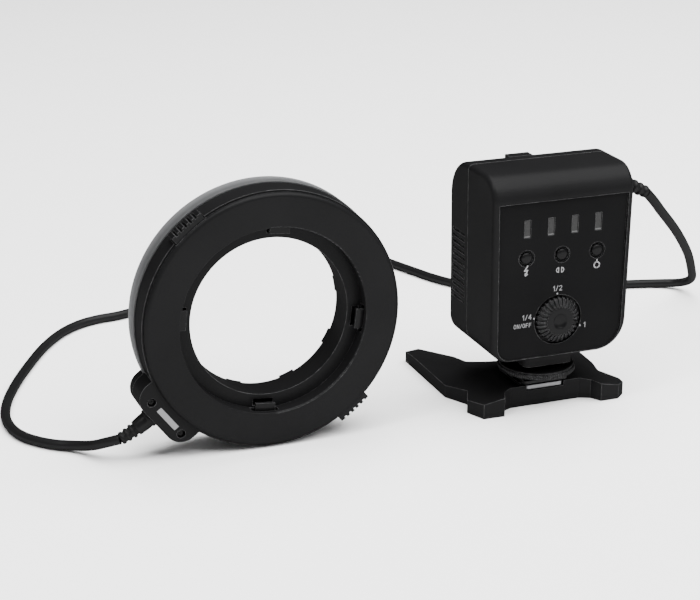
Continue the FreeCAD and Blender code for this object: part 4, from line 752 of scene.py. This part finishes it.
def circle(centre, radius, steps):
    """The points of a circle, the first of them again at the end."""
    return [(centre[0] + radius * math.cos(FULL_TURN * step / steps),
             centre[1] + radius * math.sin(FULL_TURN * step / steps)) for step in range(steps + 1)]


def add_plate(form, place, outline, low, high):
    """A plate with an outline in millimetres between two heights."""
    rings = [[form.verts.new(place @ (Vector((x, y, height)) * MM)) for x, y in outline]
             for height in (low, high)]
    form.faces.new(rings[0][::-1])
    form.faces.new(rings[1])
    join_rings(form, rings)


def draw_line(form, place, points, wide):
    """A painted line of constant width with round ends, each run a hair above the last."""
    for one, two in zip(points, points[1:]):
        one, two = Vector(one), Vector(two)
        along = (two - one).normalized() * wide / 2
        across = Vector((-along.y, along.x))
        outline = []
        for centre, start in ((two, -90.0), (one, 90.0)):
            for step in range(CAP_STEPS + 1):
                turn = math.radians(start + 180.0 / CAP_STEPS * step)
                outline.append(centre + along * math.cos(turn) + across * math.sin(turn))
        height = PAINT + PAINT_STEP * (len(form.faces) % PAINT_LEVELS)
        form.faces.new([form.verts.new(place @ (Vector((spot.x, spot.y, height)) * MM))
                        for spot in outline])


def write(form, place, signs, corner, tall, wide, gap):
    """A row of signs from a lower left corner on the panel."""
    x, z = corner
    for sign in signs:
        for strokes in SIGNS[sign]:
            draw_line(form, place, [(x + at * tall, z + up * tall) for at, up in strokes], wide)
        x += tall * (SIGN_WIDTHS.get(sign, SIGN_WIDTH) + gap)


def make_marks(material):
    """The dial's scale and the buttons' signs."""
    place = facing((0.0, PANEL_FACE, 0.0), FORWARD, RIGHTWARD)
    form = bmesh.new()
    for dot in DIAL_DOTS:
        add_plate(form, place, circle(dot, DOT_RADIUS, DOT_STEPS)[:-1], 0.0, PAINT)
    for row in SIGN_ROWS:
        write(form, place, *row)
    draw_line(form, place, circle(LAMP_CENTRE, LAMP_RADIUS, LAMP_STEPS), LAMP_WIDE)
    draw_line(form, place, LAMP_STROKE, LAMP_STROKE_WIDE)
    new_piece("panel_marks", form, material, "flash")


# The boss screws, in millimetres: a domed head with a cross recess, turned a little, on a shank
SCREW_HEAD = 1.4
SCREW_DOME = 0.45
SCREW_STEPS = 48
SHANK_SHARE, SHANK_SPARE, SHANK_STEPS = 0.55, 0.1, 24
CROSS_TURN = 0.5
CROSS_ARM = 0.985


def cross_screw(form, place, radius):
    """A cross-recess screw head seen from its top."""
    profile = [
        (0.0, -SCREW_DOME * 2.2), (0.3, -0.3), (0.4, 0.0), (radius * 0.62, 0.0),
        (radius * 0.85, -SCREW_DOME * 0.35), (radius, -SCREW_DOME), (radius, -SCREW_HEAD),
        (radius * 0.5, -SCREW_HEAD - 0.3), (0.0, -SCREW_HEAD - 0.3),
    ]

    def recess(index, near, high, angle):
        """A profile point, further out along the four arms of the cross."""
        arm = 1.0 if max(abs(math.cos(angle)), abs(math.sin(angle))) > CROSS_ARM else 0.0
        if index == 1:
            return radius * (0.16 + 0.1 * arm), -SCREW_DOME * 2.0
        if index == 2:
            return radius * (0.2 + 0.36 * arm), -0.02
        return near, high

    turn_profile(form, place, profile, SCREW_STEPS, recess)


def make_boss_screws(material):
    """The two screws that hold the boss cover."""
    form = bmesh.new()
    for low, high in loose_boxes(frame["nodes"]["boss_screws"]):
        radius = (high.x - low.x) / 2 / MM
        shank = (high.y - low.y) / MM - SCREW_HEAD - SHANK_SPARE
        centre = (low + high) / 2
        head_place = facing((centre.x, low.y, centre.z), FORWARD,
                            (math.cos(CROSS_TURN), 0.0, math.sin(CROSS_TURN)))
        cross_screw(form, head_place, radius)
        shank_place = facing((centre.x, low.y + SCREW_HEAD * MM, centre.z), (0.0, 1.0, 0.0),
                             RIGHTWARD)
        slim = radius * SHANK_SHARE
        turn_profile(form, shank_place, [(0.0, 0.0), (slim, 0.0), (slim, shank), (0.0, shank)],
                     SHANK_STEPS)
    new_piece("boss_screw_pair", form, material, "flash", ["boss_screws"])


# The studio: a pale floor, a wide soft light overhead and two weak ones from the front
FLOOR_HALF = 6.0
WORLD_LIGHT = 0.22
STUDIO_MIDDLE = (-0.05, 0.05, 0.06)

# Each light's place and size in metres, and its power in watts
LIGHTS = [
    ("overhead", (0.3, -0.2, 1.7), 2.2, 165.0),
    ("key", (-0.9, -0.35, 1.15), 0.25, 8.0),
    ("fill", (0.9, -1.2, 0.9), 0.7, 4.0),
]


def make_floor():
    """The floor under the part."""
    mesh = bpy.data.meshes.new("floor")
    corners = [(-1, -1), (1, -1), (1, 1), (-1, 1)]
    mesh.from_pydata([(x * FLOOR_HALF, y * FLOOR_HALF, 0.0) for x, y in corners], [],
                     [(0, 1, 2, 3)])
    mesh.materials.append(surface("floor", (0.95,) * 3, (0.96,) * 3, (0.75, 0.85), grain=300.0,
                                  depth=0.00005, strength=0.1, specular=0.2))
    floor = bpy.data.objects.new("floor", mesh)
    bpy.context.collection.objects.link(floor)


def make_studio():
    """The world's light and the lamps, all aimed at the part."""
    world = bpy.data.worlds.new("studio")
    bpy.context.scene.world = world
    world.use_nodes = True
    background = world.node_tree.nodes["Background"]
    background.inputs["Color"].default_value = (1.0, 1.0, 1.0, 1.0)
    background.inputs["Strength"].default_value = WORLD_LIGHT
    for name, place, size, power in LIGHTS:
        data = bpy.data.lights.new(name, "AREA")
        data.shape = "RECTANGLE"
        data.size = size
        data.size_y = size
        data.energy = power
        lamp = bpy.data.objects.new(name, data)
        lamp.location = place
        aim = Vector(STUDIO_MIDDLE) - Vector(place)
        lamp.rotation_euler = aim.to_track_quat("-Z", "Y").to_euler()
        bpy.context.collection.objects.link(lamp)


make_camera()
MATERIALS = make_materials()
dress_nodes(MATERIALS)
make_cord(MATERIALS["cord_rubber"], make_reliefs(MATERIALS["cord_rubber"]))
make_dial(MATERIALS["frame_plastic"])
make_wheel(MATERIALS["frame_plastic"])
make_buttons(MATERIALS["frame_plastic"])
make_springs(MATERIALS["spring_steel"])
make_marks(MATERIALS["label"])
make_boss_screws(MATERIALS["black_metal"])
make_floor()
make_studio()
